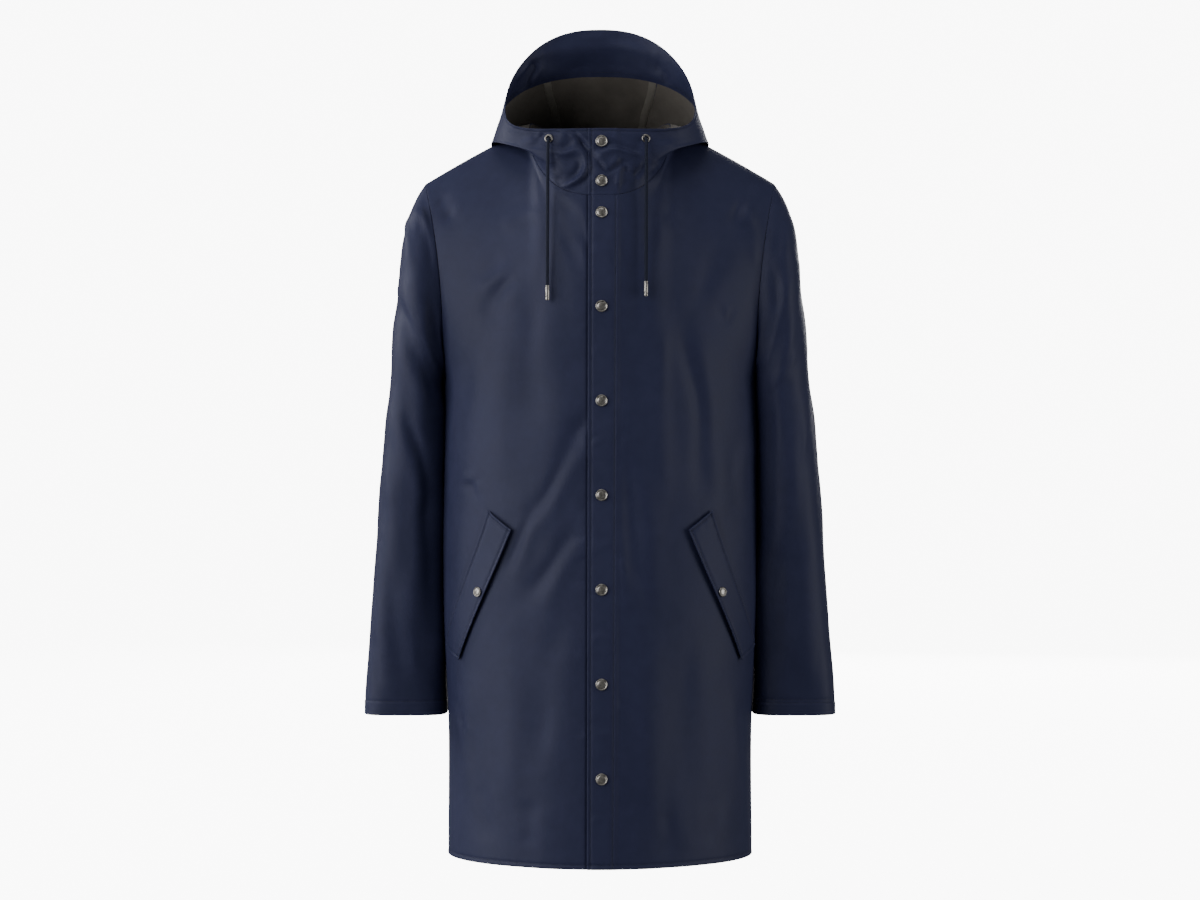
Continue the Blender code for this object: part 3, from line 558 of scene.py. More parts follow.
def squared(degrees, power):
    # cosine and sine with the exponent 2/power; a power of 2 is a circle
    angle = np.radians(degrees)
    c, s = np.cos(angle), np.sin(angle)
    return np.sign(c) * np.abs(c) ** (2 / power), np.sign(s) * np.abs(s) ** (2 / power)


def loopPoints(table, degrees):
    # x = side x * s; (y, z) = side + (front - back)/2 c + ((front + back)/2 - side) c^2
    table = np.atleast_2d(table)[:, None]
    degrees = np.broadcast_to(degrees, (len(table), np.shape(degrees)[-1]))
    power = np.where(np.cos(np.radians(degrees)) > 0, table[..., 7], table[..., 8])
    c, s = squared(degrees, power)
    front, side, back = table[..., 0:2], table[..., 3:5], table[..., 5:7]
    c2 = c[..., None]
    place = side + (front - back) / 2 * c2 + ((front + back) / 2 - side) * c2 * c2
    return np.concatenate(((table[..., 2] * s)[..., None], place), axis=-1)


def angleAtX(table, x):
    # where the front half of each loop is at x
    table = np.atleast_2d(table)
    share = np.minimum(np.abs(x) / table[:, 2:3], 1) ** (table[:, 7:8] / 2)
    return np.sign(x) * np.degrees(np.arcsin(share))


def bodyLoops(z):
    # one loop for each height, with its half width, front and back
    rings = np.array(coatForm["rings"])
    half, front, back = smoothBetween(rings[:, 0], rings[:, 1:], z).T
    zero = np.zeros_like(half)
    power = zero + coatForm["bodyPower"]
    return np.stack((-front, z, half, zero, z, back, z, power, power), axis=1)


def hoodLoops(rows):
    # loops and seam angles between the table's rows, which count from 0 at the rim
    values = smoothBetween(np.arange(hoodLast + 1), hoodForm, rows)
    return values[:, :9], values[:, 9]


neckLoop = hoodLoops(np.array([float(hoodLast)]))[0]
neckZ = neckLoop[0, 1]


def lapStations(side, z):
    # x of the lap's columns, counted towards the piece's own side
    down = np.clip((neckZ - z) / (neckZ - coatForm["hemZ"]), 0, 1)
    free = coatForm["freeEdge"][0] + (coatForm["freeEdge"][1] - coatForm["freeEdge"][0]) * down
    under = coatForm["underEdge"][0] + (coatForm["underEdge"][1] - coatForm["underEdge"][0]) * down
    middle = (free + under) / 2
    run = coatForm["lapRunOut"]
    if side == "left":
        stations = (free, middle, under, under + run)
    else:
        stations = (0.0004 - under, -middle, -free, run - free)
    return np.stack(stations, axis=1)


def atColumns(coarse, t):
    # values between columns, in straight steps
    i = np.clip(np.floor(t).astype(int), 0, coarse.shape[1] - 2)
    f = t - i
    return coarse[:, i] * (1 - f) + coarse[:, i + 1] * f


def evenPlaces(lengths, pitch, closeAt):
    # places along cells of these lengths, pitch apart, and closer beside seams and edges
    cells = np.concatenate(((0,), np.cumsum(lengths)))
    places = list(np.linspace(0, cells[-1], round(cells[-1] / pitch) + 1))
    centres = [float(np.interp(t, np.arange(len(cells)), cells)) for t in closeAt]
    near = np.array((0.0005, 0.0010, 0.0017, 0.0026, 0.0037, 0.0050, 0.0066, 0.0085))
    for centre in centres:
        places += list(centre + near) + list(centre - near)
    places = sorted(p for p in places if 0 <= p <= cells[-1])
    kept = []
    for p in places:
        beside = min(abs(p - c) for c in centres) if centres else 1.0
        least = 0.0004 if beside < 0.0095 else pitch * 0.55
        if not kept or p - kept[-1] >= least:
            kept.append(p)
    kept = [p for p in kept if min((abs(p - c) for c in centres), default=1.0) > 0.0003]
    kept = np.array(sorted(kept + centres))
    return np.interp(kept, cells, np.arange(len(cells)))


gridSetup = {"pitch": 0.0036, "hoodPitch": 0.0026}


def sleeveRing(rows, degrees):
    # (x, z) = middle + (outer - inner)/2 c, x less scoop s^2, y = middle - depth s
    table = np.atleast_2d(rows)[:, None]
    c, s = squared(np.broadcast_to(degrees, (len(table), np.shape(degrees)[-1])), table[..., 7])
    place = (table[..., 0:2] + table[..., 2:4]) / 2 + (table[..., 0:2] - table[..., 2:4]) / 2 * c[..., None]
    x = place[..., 0] - table[..., 6] * s * s
    return np.stack((x, table[..., 4] - table[..., 5] * s, place[..., 1]), axis=-1)


def shoulderPoints(share):
    # neck + (shoulder - neck) share, raised by a bow of 4 share (1 - share)
    neck = loopPoints(neckLoop, np.array([90.0]))[0, 0]
    points = neck + (np.array(coatForm["shoulder"]) - neck) * share[:, None]
    points[:, 2] += coatForm["shoulderBow"] * 4 * share * (1 - share)
    return points


def bodyPanel(lowerAngles, tops, turns, kind, heights, shares):
    # loops below the armpit, and above it cubic columns up to the top edge
    loops = bodyLoops(heights)
    lower = loopPoints(loops, lowerAngles(loops, heights))
    centre, shoulder = {
        "front": ((0, -0.016, -0.075), (0, -0.085, -0.034)),
        "back": ((0, 0.024, -0.075), (0, 0.085, -0.034)),
    }[kind]
    falls = np.array(centre) + (np.array(shoulder) - centre) * turns[:, None]
    chest = lower[-1]
    rise = np.zeros_like(chest)
    rise[:, 2] = (tops - chest)[:, 2] * coatForm["chestPull"]
    s = shares[:, None, None]
    upper = chest * (1 - s) ** 3 + (chest + rise) * 3 * s * (1 - s) ** 2
    upper = upper + (tops + falls) * 3 * s * s * (1 - s) + tops * s ** 3
    return lower, upper


def fittedArmhole(upper, t, first, half, shares):
    # the outer columns bend so that the edge runs along the sleeve's ring
    column = int(np.argmin(np.abs(t - first)))
    ring = sleeveRing(sleeveForm[0], 180 * (1 - shares) * half)[0]
    ring[:, 0] *= np.sign(upper[0, column, 0])
    reach = np.clip(1 - np.abs(t - first) / 5, 0, 1) ** 1.5
    return upper + (ring - upper[:, column])[:, None] * reach[None, :, None]


def softened(grid, share, axis, times):
    # each pass replaces a point by a quarter, a half and a quarter of itself and its neighbours
    smooth = np.moveaxis(grid, axis, 0).copy()
    for _ in range(times):
        smooth[1:-1] = (smooth[:-2] + 2 * smooth[1:-1] + smooth[2:]) / 4
    return grid + (np.moveaxis(smooth, 0, axis) - grid) * share[..., None]


easing = {"besideCorner": 2.2, "cornerPasses": 160, "aboutArmpit": 0.035, "armpitPasses": 40}


def withoutCreases(grid, t, corners):
    # eased below the corners of the neck, and at the height where the armholes begin
    z = grid[..., 2]
    down = runLength(grid, 0)
    fromTop = down[-1:] - down
    beside = np.exp(-((t[:, None] - np.array(corners)) / easing["besideCorner"]) ** 2).max(axis=1)
    beside *= smoothStep(t, 3.2, 5.0) if len(corners) == 1 else 1
    grid = softened(grid, beside[None] * smoothStep(fromTop, 0.002, 0.030), 1, easing["cornerPasses"])
    level = np.exp(-((z - coatForm["armpitZ"]) / easing["aboutArmpit"]) ** 2)
    inward = smoothStep(np.minimum(t - t[0], t[-1] - t), 0.3, 1.5)
    return softened(grid, level * inward[None], 0, easing["armpitPasses"])


def bodyRows():
    # heights of the rows up to the armpit, and shares of the way from there to the top edge
    heights = np.linspace(coatForm["hemZ"], coatForm["armpitZ"], 12)
    lower = evenPlaces(np.diff(heights), gridSetup["pitch"], (0,))
    upper = evenPlaces([0.0235] * 11, gridSetup["pitch"], (11,))
    return np.interp(lower, np.arange(12), heights), upper / 11


def frontPanel(side):
    # columns 0 to 3 are the lap, 3 to 8 lie under the neck and 8 to 13 under the shoulder
    heights, shares = bodyRows()
    loops = bodyLoops(np.array([coatForm["armpitZ"]]))

    def coarseAngles(loops, z):
        lap = angleAtX(loops, lapStations(side, z))
        neck = lap[:, 3:] + (coatForm["underNeck"] - lap[:, 3:]) * np.arange(1, 6) / 5
        shoulder = np.broadcast_to(np.linspace(coatForm["underNeck"], 90, 6)[1:], (len(z), 5))
        return np.concatenate((lap, neck, shoulder), axis=1)

    coarse = loopPoints(loops, coarseAngles(loops, np.array([coatForm["armpitZ"]])))[0]
    lengths = np.linalg.norm(np.diff(coarse, axis=0), axis=1)
    t = evenPlaces(lengths, gridSetup["pitch"], (0, 2, 13))
    lapAngles = angleAtX(neckLoop, lapStations(side, neckLoop[:, 1]))[0]
    neckAngles = np.concatenate((lapAngles, 90 * np.arange(2, 7) / 6))
    angles = np.interp(t, np.arange(9), neckAngles)
    tops = loopPoints(neckLoop, angles)[0]
    beyond = t > 8
    tops[beyond] = shoulderPoints((t[beyond] - 8) / 5)
    turns = np.where(beyond, 1.0, np.abs(np.sin(np.radians(angles))) ** 4)
    lower, upper = bodyPanel(
        lambda l, z: atColumns(coarseAngles(l, z), t), tops, turns, "front", heights, shares,
    )
    upper = fittedArmhole(upper, t, 13, 1, shares)
    grid = withoutCreases(np.concatenate((lower[:-1], upper)), t, (8,))
    grid[..., 0] *= sides[side]
    return grid, t


def backPanel():
    # columns 0 to 5 and 17 to 22 lie under the shoulders, 5 to 17 under the neck
    heights, shares = bodyRows()
    start = np.linspace(90, 180 - coatForm["underNeck"], 6)
    middle = np.linspace(180 - coatForm["underNeck"], 180 + coatForm["underNeck"], 13)[1:-1]
    coarse = np.concatenate((start, middle, 360 - start[::-1]))
    points = loopPoints(bodyLoops(np.array([coatForm["armpitZ"]])), coarse)[0]
    t = evenPlaces(np.linalg.norm(np.diff(points, axis=0), axis=1), gridSetup["pitch"], (0, 22))
    angles = 90 + (t - 5) * 15
    tops = loopPoints(neckLoop, angles)[0]
    turns = np.abs(np.sin(np.radians(np.clip(angles, 90, 270)))) ** 4
    tops[t < 5] = shoulderPoints((5 - t[t < 5]) / 5)
    tops[t > 17] = shoulderPoints((t[t > 17] - 17) / 5) * (-1, 1, 1)
    lower, upper = bodyPanel(
        lambda l, z: np.interp(t, np.arange(23), coarse), tops, turns, "back", heights, shares,
    )
    upper = fittedArmhole(upper, t, 0, -1, shares)
    upper = fittedArmhole(upper, t, 22, -1, shares)
    return withoutCreases(np.concatenate((lower[:-1], upper)), t, (5, 17)), t


def sleevePanel(side):
    # rings between the table's rows, each closed round the arm
    angles = np.linspace(0, 360, 113)[:-1]
    rings = sleeveRing(sleeveForm, angles)
    lengths = np.linalg.norm(np.diff(rings, axis=0), axis=2).mean(axis=1)
    rows = evenPlaces(lengths, gridSetup["pitch"], (0, sleeveStitchRow, 11))
    grid = smoothBetween(np.arange(12), rings, rows)
    grid[..., 0] *= sides[side]
    return grid, rows


def hoodSurface():
    # the whole hood, from the left front's free edge over the back to the right's
    loops, seams = hoodLoops(np.arange(0, hoodLast + 1, 1.0))
    middles = loopPoints(loops, np.array([0.0, 45, 90, 135, 180]))
    lengths = np.linalg.norm(np.diff(middles, axis=0), axis=2).mean(axis=1)
    rows = evenPlaces(lengths, gridSetup["hoodPitch"], (0, hoodLast))
    loops, seams = hoodLoops(rows)
    halves = {}
    for side in sides:
        lap = angleAtX(loops, lapStations(side, loops[:, 1]))
        panel = 30 + (150 - seams[:, None]) * np.arange(9) / 8
        halves[side] = np.concatenate((lap, panel), axis=1)
    centre = 180 + seams[:, None] * np.array((-0.5, 0, 0.5))
    coarse = np.concatenate((halves["left"], centre, 360 - halves["right"][:, ::-1]), axis=1)
    middle = loopPoints(loops, coarse)[len(rows) // 2]
    lengths = np.linalg.norm(np.diff(middle, axis=0), axis=1)
    t = evenPlaces(lengths, gridSetup["hoodPitch"], (0, 2, 12, 16, 26, 28))
    return loopPoints(loops, atColumns(coarse, t)), rows, t


clothSetup = {
    "thickness": 0.0010,
    "seamRound": 0.0008,     # how far a seam's edge rolls in
    "edgeRound": 0.0010,     # the same on a turned edge
    "grooveWidth": 0.0014,
    "grooveDepth": 0.00080,
    "creviceWidth": 0.0016,  # beside an edge that lies on the cloth
    "creviceDepth": 0.0010,
    "hemStep": 0.00035,      # how far the doubled cloth of a hem stands out
    "pucker": 0.00022,       # height of the ripples along a stitched line
    "puckerReach": 0.0075,
    "tightShare": 0.45,      # of the room inside a bend that the cloth may fill
    "leastDepth": 0.0002,
}

turnings = {
    # width of the cloth turned in at an edge, and how much thicker it makes the edge
    "hem": (0.020, 0.0010),
    "cuff": (0.021, 0.0010),
    "placket": (0.036, 0.0004),
    "rim": (0.0, 0.0),
    "turned": (0.0, 0.0),
    "raw": (0.0, 0.0),
}

stitchSetup = {
    "pitch": 0.0034, "length": 0.0026, "radius": 0.00030, "sides": 5,
    "trim": 0.0015,          # bare cloth at each end of a line
    "lapTrim": 0.002,
    "fromHem": 0.0056, "fromEdge": 0.0040, "fromRim": 0.0035, "fromSeam": 0.0032, "fromFacing": 0.0065,
    "fromCuff": {"left": (0.0165, 0.0205), "right": (0.0185,)},
}


def foldRelief(points, folds):
    # h exp(-(d/w)^2) across each fold, and the opposite share beside it at 1.7 w
    place = points[..., (0, 2)]
    total = np.zeros(place.shape[:-1])
    for number, (line, width, height, beside) in enumerate(folds):
        line = np.array(line)
        runs = runLength(line, 0)
        line = smoothBetween(runs, line, np.linspace(0, runs[-1], 15))
        margin = 4 * width
        near = ((place > line.min(axis=0) - margin) & (place < line.max(axis=0) + margin)).all(axis=-1)
        p = place[near][:, None]
        way = np.diff(line, axis=0)
        along = np.clip(((p - line[:-1]) * way).sum(axis=-1) / (way ** 2).sum(axis=-1), 0, 1)
        gap = p - (line[:-1] + along[..., None] * way)
        distance = np.linalg.norm(gap, axis=-1)
        least = distance.argmin(axis=1)
        pick = np.arange(len(least))
        turn = way[least, 0] * gap[pick, least, 1] - way[least, 1] * gap[pick, least, 0]
        share = (least + along[pick, least]) / len(way)
        d = distance[pick, least] * np.where(turn < 0, -1, 1)
        w = width * (1 + 0.22 * np.sin(5 * share + 1.7 * number))
        ends = smoothStep(np.minimum(share, 1 - share), -0.12, 0.22)
        uneven = 1 + 0.18 * np.sin(9 * share + 2.3 * number)
        profile = np.exp(-(d / w) ** 2) - beside * np.exp(-((d - 1.7 * w) / (1.3 * w)) ** 2)
        total[near] += height * ends * uneven * profile
    return total


def softWaves(points, amplitude, size, seed):
    # slow uneven waves: a product and sum of sines along tilted directions
    x, y, z = points[..., 0] / size, points[..., 1] / size, points[..., 2] / size
    one = np.sin(2.1 * x + 0.7 * z + seed) * np.sin(1.3 * z - 0.6 * y + 2 * seed)
    two = np.sin(3.7 * x - 1.1 * z + 1.9 * y + 3 * seed) * np.sin(2.3 * z + 1.2 * x + seed)
    return amplitude * (0.6 * one + 0.4 * two)


def edgeDistances(grid, wraps=False):
    # length run along the cloth from each edge of its grid
    down = runLength(grid, 0)
    found = {"firstRow": down, "lastRow": down[-1:] - down}
    if not wraps:
        across = runLength(grid, 1)
        found["firstColumn"] = across
        found["lastColumn"] = across[:, -1:] - across
    return found


def besideColumn(grid, t, place):
    # number of the column at a place, and the length run from it along every row
    column = int(np.argmin(np.abs(t - place)))
    across = runLength(grid, 1)
    return column, across - across[:, column:column + 1]


def alongEdge(grid, edge):
    # length run along an edge, for each point beside it
    return runLength(grid, 1) if "Row" in edge else runLength(grid, 0)


def seamFade(distances, edges, reach):
    # 1 inside a panel, 0 where it is sewn to another
    fade = 1.0
    for edge, kind in edges.items():
        if kind == "seam":
            fade = fade * smoothStep(distances[edge], 0, reach)
    return fade


def puckers(run, seed):
    # short uneven ripples along a stitched line
    slow = np.sin(2 * math.pi * run / 0.083 + seed)
    swell = 0.55 + 0.45 * np.sin(run / 0.029 + 2 * seed)
    return np.sin(2 * math.pi * run / 0.0135 + 2.2 * slow + seed) * swell


def linePlaces(points, normals, distance, offset, edge):
    # one place for each row (or column) where the distance from the edge is the offset
    if "Row" in edge:
        points, normals, distance = points.swapaxes(0, 1), normals.swapaxes(0, 1), distance.T
    if edge.startswith("last"):
        points, normals, distance = points[:, ::-1], normals[:, ::-1], distance[:, ::-1]
    k = np.clip((distance < offset).sum(axis=1), 1, distance.shape[1] - 1)
    r = np.arange(len(k))
    f = np.clip((offset - distance[r, k - 1]) / (distance[r, k] - distance[r, k - 1]), 0, 1)[:, None]
    place = points[r, k - 1] * (1 - f) + points[r, k] * f
    return place, unit(normals[r, k - 1] * (1 - f) + normals[r, k] * f)


def stitchesAlong(places, normals, trim):
    # each stitch is a short tube that dives at both ends: p = line + n lift + ring
    runs = runLength(places, 0)
    count = int((runs[-1] - trim - trim) / stitchSetup["pitch"])
    shares = np.array((0.0, 0.22, 0.78, 1.0))
    at = trim + (np.arange(count)[:, None] + 0.12) * stitchSetup["pitch"] + shares * stitchSetup["length"]
    middle = np.stack([np.interp(at, runs, places[:, k]) for k in range(3)], axis=-1)
    up = unit(np.stack([np.interp(at, runs, normals[:, k]) for k in range(3)], axis=-1))
    along = unit(middle[:, -1:] - middle[:, :1])
    beside = unit(np.cross(up, along))
    radius = stitchSetup["radius"] * np.array((0.55, 1.0, 1.0, 0.55))[None, :, None, None]
    lift = stitchSetup["radius"] * np.array((-0.9, 0.35, 0.35, -0.9))[None, :, None]
    angles = np.arange(stitchSetup["sides"]) * 2 * math.pi / stitchSetup["sides"]
    ring = beside[:, :, None] * np.cos(angles)[:, None] + up[:, :, None] * np.sin(angles)[:, None]
    return (middle + up * lift)[:, :, None] + ring * radius


def stitchPiece(name, runs):
    # all the stitches of a piece, joined
    points = np.concatenate(runs)
    count, rings, around = points.shape[:3]
    index = np.arange(rings * around).reshape(rings, around)
    index = np.concatenate((index, index[:, :1]), axis=1)
    quads = gridQuads(index, True)
    starts = np.arange(count)[:, None, None] * rings * around
    sidesOf = (quads[None] + starts).reshape(-1, 4).tolist()
    first = (index[0, -2::-1][None] + starts[:, 0]).tolist()
    last = (index[-1, :-1][None] + starts[:, 0]).tolist()
    piece = newPiece(name, points.reshape(-1, 3), sidesOf + first + last, thread, smoothAngle=80)
    return piece


def insideReach(points, normals, wraps):
    # radius of the largest ball that touches a point from inside and holds no neighbour:
    # |q - p|^2 / (2 (p - q) . n)
    least = np.full(points.shape[:2], 1.0)
    steps = [(k, 0) for k in (1, 2, 3, 4, 6, 8, 11, 15, 20, 26, 33)] + [(0, k) for k in (1, 2, 3, 5)]
    for down, across in steps:
        for way in (1, -1):
            other = np.roll(points, (way * down, way * across), axis=(0, 1))
            gap = points - other
            inward = (gap * normals).sum(axis=-1)
            radius = (gap ** 2).sum(axis=-1) / np.maximum(2 * inward, 1e-6)
            rows = np.arange(points.shape[0])[:, None] - way * down
            columns = np.arange(points.shape[1])[None] - way * across
            real = (rows >= 0) & (rows < points.shape[0])
            real = real & (wraps | ((columns >= 0) & (columns < points.shape[1])))
            least = np.where(real & (inward > 1e-6), np.minimum(least, radius), least)
    return least


def clothPanel(name, node, grid, outward, edges, relief, wraps=False, looks=None, stitched=(), thickness=None,
               faced=None):
    # outer = grid + n relief, rolled in at its edges; inner = outer - n thickness
    looks = looks or [coated, knit]
    thickness = clothSetup["thickness"] if thickness is None else thickness
    normals = gridNormals(grid, wraps) * outward
    distances = edgeDistances(grid, wraps)
    detail = np.zeros(grid.shape[:2])
    for edge, offset in stitched:
        d = distances[edge] - offset
        ripple = puckers(alongEdge(grid, edge), len(name) + 40 * offset * 100)
        detail += clothSetup["pucker"] * ripple * np.exp(-(d / clothSetup["puckerReach"]) ** 2)
        detail -= clothSetup["grooveDepth"] * np.exp(-(d / clothSetup["grooveWidth"]) ** 2)
        if edges[edge] in ("hem", "cuff"):
            detail += clothSetup["hemStep"] * (1 - smoothStep(d, -0.0006, 0.0022))
    surface = grid + normals * (relief + detail)[..., None]
    normals = gridNormals(surface, wraps) * outward
    outerDrop = np.zeros(grid.shape[:2])
    reach = insideReach(surface, normals, wraps)
    room = clothSetup["tightShare"] * reach
    depth = np.minimum(thickness + detail, room)
    turnedIn = np.zeros(grid.shape[:2], bool)
    for edge, kind in edges.items():
        d = distances[edge]
        r = clothSetup["seamRound"] if kind == "seam" else clothSetup["edgeRound"]
        roll = r - np.sqrt(np.maximum(r * r - np.maximum(r - d, 0) ** 2, 0))
        outerDrop = np.maximum(outerDrop, roll * (0.75 if kind == "seam" else 0.5))
        if kind in turnings:
            width, extra = turnings[kind]
            depth = depth + extra * (1 - smoothStep(d, width, width + 0.0015)) - roll * 0.5
            turnedIn |= d < width
    turnedIn |= room < thickness
    if faced is not None:
        turnedIn |= faced[:, None]
    outer = surface - normals * outerDrop[..., None]
    inner = surface - normals * np.maximum(depth, clothSetup["leastDepth"])[..., None]

    rows, columns = grid.shape[:2]
    index = np.arange(rows * columns).reshape(rows, columns)
    down = distances["firstRow"]
    across = runLength(grid, 1)
    if wraps:
        index = np.concatenate((index, index[:, :1]), axis=1)
        closing = across[:, -1:] + np.linalg.norm(grid[:, :1] - grid[:, -1:], axis=-1)
        across = np.concatenate((across, closing), axis=1)
        down = np.concatenate((down, down[:, :1]), axis=1)
        turnedIn = np.concatenate((turnedIn, turnedIn[:, :1]), axis=1)
    flip = outward > 0
    inside = index + rows * columns
    rims = [(index[0], inside[0], True), (index[-1], inside[-1], False)]
    if not wraps:
        rims += [(index[:, 0], inside[:, 0], False), (index[:, -1], inside[:, -1], True)]
    faces = [gridQuads(index, flip), gridQuads(inside, not flip)]
    for upper, lower, turn in rims:
        quads = np.stack((upper[:-1], upper[1:], lower[1:], lower[:-1]), axis=-1)
        faces.append(quads[:, ::-1] if turn == flip else quads)
    uv = np.stack((across, down), axis=-1).reshape(-1, 2)
    uvIndex = np.arange(uv.shape[0]).reshape(index.shape)
    uvFaces = [gridQuads(uvIndex, flip), gridQuads(uvIndex, not flip)]
    uvRims = [uvIndex[0], uvIndex[-1]] + ([] if wraps else [uvIndex[:, 0], uvIndex[:, -1]])
    for line, (_, _, turn) in zip(uvRims, rims):
        quads = np.stack((line[:-1], line[1:], line[1:], line[:-1]), axis=-1)
        uvFaces.append(quads[:, ::-1] if turn == flip else quads)
    cell = turnedIn[:-1, :-1] & turnedIn[1:, 1:]
    slots = np.concatenate((
        np.zeros(len(faces[0]), int),
        np.where(cell, 0, 1).reshape(-1),
        np.zeros(sum(len(f) for f in faces[2:]), int),
    ))
    faces = np.concatenate(faces)
    corners = uv[np.concatenate(uvFaces)].reshape(-1, 2)
    points = np.concatenate((outer.reshape(-1, 3), inner.reshape(-1, 3)))
    piece = newPiece(name, points, faces.tolist(), looks, corners, slots, smoothAngle=55)
    if node:
        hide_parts(node)
    runs = []
    for edge, offset in stitched:
        places, ups = linePlaces(outer, normals, distances[edge], offset, edge)
        if wraps:
            places, ups = np.concatenate((places, places[:1])), np.concatenate((ups, ups[:1]))
        runs.append(stitchesAlong(places, ups, stitchSetup["trim"]))
    return {"piece": piece, "outer": outer, "normals": normals, "stitches": runs, "tapes": []}


# The main folds. A fold is a run of places in the camera's view, a half width, a height and the share
# beside it that goes the other way.

viewSetup = {"middle": (600, 450), "step": 0.0013}      # columns and rows of the view, metres a step at y = 0


def foldsOnCoat(folds, depth, start=(0, 0), part=1.0, widthStep=None, mirror=1):
    # x = (column - middle) k and z = camera + (middle - row) k, with k = step (away + depth) / away, all to a
    # tenth of a millimetre; places count from the start in parts of a step, heights are in millimetres
    away = -cameraSetup["place"][1]
    k = (away + depth) / away * viewSetup["step"]
    column, row = viewSetup["middle"]
    widthStep = widthStep or k
    made = []
    for places, width, height, beside in folds:
        line = [
            (mirror * round((start[0] + x * part - column) * k, 4),
             round(cameraSetup["place"][2] + (row - start[1] - y * part) * k, 4))
            for x, y in places
        ]
        made.append((line, round(width * widthStep, 4), height / 1000, beside))
    return made


# widths are in steps of the view, and the collar's in millimetres
frontRightFolds = foldsOnCoat((
    (((430, 190), (438, 200), (447, 214)), 9, -2.6, 0.3),
    (((480, 290), (497, 277), (513, 265)), 10, 2.4, 0.4),
    (((515, 268), (500, 285), (490, 303), (487, 322)), 10, -3, 0.4),
    (((562, 198), (576, 220), (585, 240), (588, 246)), 6, -2.2, 0.5),
    (((557, 204), (568, 236), (580, 272)), 7, -2, 0.5),
    (((548, 206), (545, 250), (540, 300)), 8, -1.2, 0.4),
    (((534, 300), (530, 365), (538, 430)), 13, -1.8, 0.3),
    (((505, 330), (498, 410), (502, 470)), 12, 1.4, 0.2),
    (((588, 412), (569, 448), (551, 486), (536, 512)), 8, -2.6, 0.5),
    (((573, 530), (560, 551), (548, 570), (525, 601)), 9, -2.6, 0.5),
    (((576, 436), (588, 432)), 3, 0.9, 0.4),
    (((577, 447), (588, 452)), 3, -0.8, 0.4),
    (((576, 545), (588, 540)), 3, 0.9, 0.4),
    (((577, 562), (588, 558)), 3.2, -0.8, 0.4),
    (((578, 585), (588, 590)), 3, 0.8, 0.4),
    (((579, 330), (588, 326)), 3, 0.6, 0.4),
    (((579, 655), (588, 660)), 3, 0.6, 0.4),
    (((580, 740), (588, 735)), 3, 0.6, 0.4),
    (((455, 487), (466, 487), (475, 499)), 4, -1.3, 0.5),
    (((466, 487), (478, 478)), 4, -1, 0.5),
    (((535, 503), (521, 535), (511, 556), (500, 577)), 7, -2.2, 0.5),
    (((526, 520), (514, 545), (503, 567)), 5, -1.4, 0.5),
    (((560, 620), (545, 680), (540, 760)), 12, -1.6, 0.3),
    (((470, 690), (462, 735), (462, 800)), 10, 1.6, 0.3),
    (((459.5, 722), (459.5, 737)), 3, -1.2, 0.5),
    (((449, 712), (455, 738)), 4, 1, 0.3),
    (((505, 640), (512, 720), (508, 800)), 14, 1.4, 0.3),
    (((530, 800), (528, 850)), 10, -1.2, 0.3),
    (((478, 790), (486, 850)), 10, -1.3, 0.3),
    (((470, 345), (460, 400), (462, 450)), 10, -1.6, 0.4),
    (((500, 225), (520, 212), (540, 208)), 8, 1.3, 0.3),
), -0.145)

frontLeftFolds = foldsOnCoat((
    (((654, 178), (662, 196), (670, 218)), 7, -1.9, 0.4),
    (((646, 188), (652, 215), (650, 250)), 8, -1.4, 0.4),
    (((748, 193), (741, 206), (740, 216), (750, 227)), 7, -2.8, 0.5),
    (((752, 200), (757, 230), (765, 262)), 8, 1.8, 0.3),
    (((720, 304), (728, 318), (737, 306)), 4, -1.2, 0.5),
    (((683, 322), (689, 356), (699, 394), (702, 464), (704, 498)), 9, -3.2, 0.5),
    (((664, 330), (662, 410), (666, 500)), 9, 1.9, 0.3),
    (((624, 459), (632, 512), (637, 559), (648, 601)), 8, -2.4, 0.5),
    (((622, 440), (621, 520), (626, 600)), 6, 1.3, 0.3),
    (((735, 700), (739, 745), (745, 792)), 8, 1.5, 0.3),
    (((690, 640), (686, 720), (692, 800)), 13, -1.7, 0.3),
    (((655, 640), (650, 730), (653, 830)), 13, 1.5, 0.3),
    (((716, 800), (712, 852)), 9, -1.3, 0.3),
    (((668, 810), (670, 858)), 9, -1.1, 0.3),
    (((640, 290), (634, 350), (640, 410)), 11, -1.3, 0.3),
    (((725, 235), (714, 262), (700, 300)), 11, -1.8, 0.4),
    (((742, 430), (736, 480), (742, 520)), 9, -1.4, 0.4),
    (((618, 700), (632, 712), (640, 730)), 5, -0.9, 0.4),
    (((617, 560), (626, 568)), 3, 0.7, 0.4),
    (((617, 398), (626, 404)), 3, -0.7, 0.4),
    (((618, 250), (630, 262), (636, 280)), 5, -1, 0.4),
), -0.145)

lapFolds = foldsOnCoat((
    (((591, 245), (604, 252), (613, 262)), 3.5, 0.7, 0.3),
    (((592, 352), (600, 349), (611, 356)), 3.5, 0.6, 0.3),
    (((591, 446), (601, 440), (612, 446)), 3.5, 0.8, 0.3),
    (((591, 461), (603, 462)), 3.2, -0.5, 0.3),
    (((592, 541), (602, 546), (612, 541)), 3.5, 0.8, 0.3),
    (((591, 560), (600, 556)), 3, -0.5, 0.3),
    (((592, 640), (602, 636), (612, 642)), 3.5, 0.6, 0.3),
    (((592, 730), (603, 735), (612, 731)), 3.5, 0.6, 0.3),
    (((591, 822), (603, 818), (612, 823)), 3.5, 0.6, 0.3),
), -0.147)

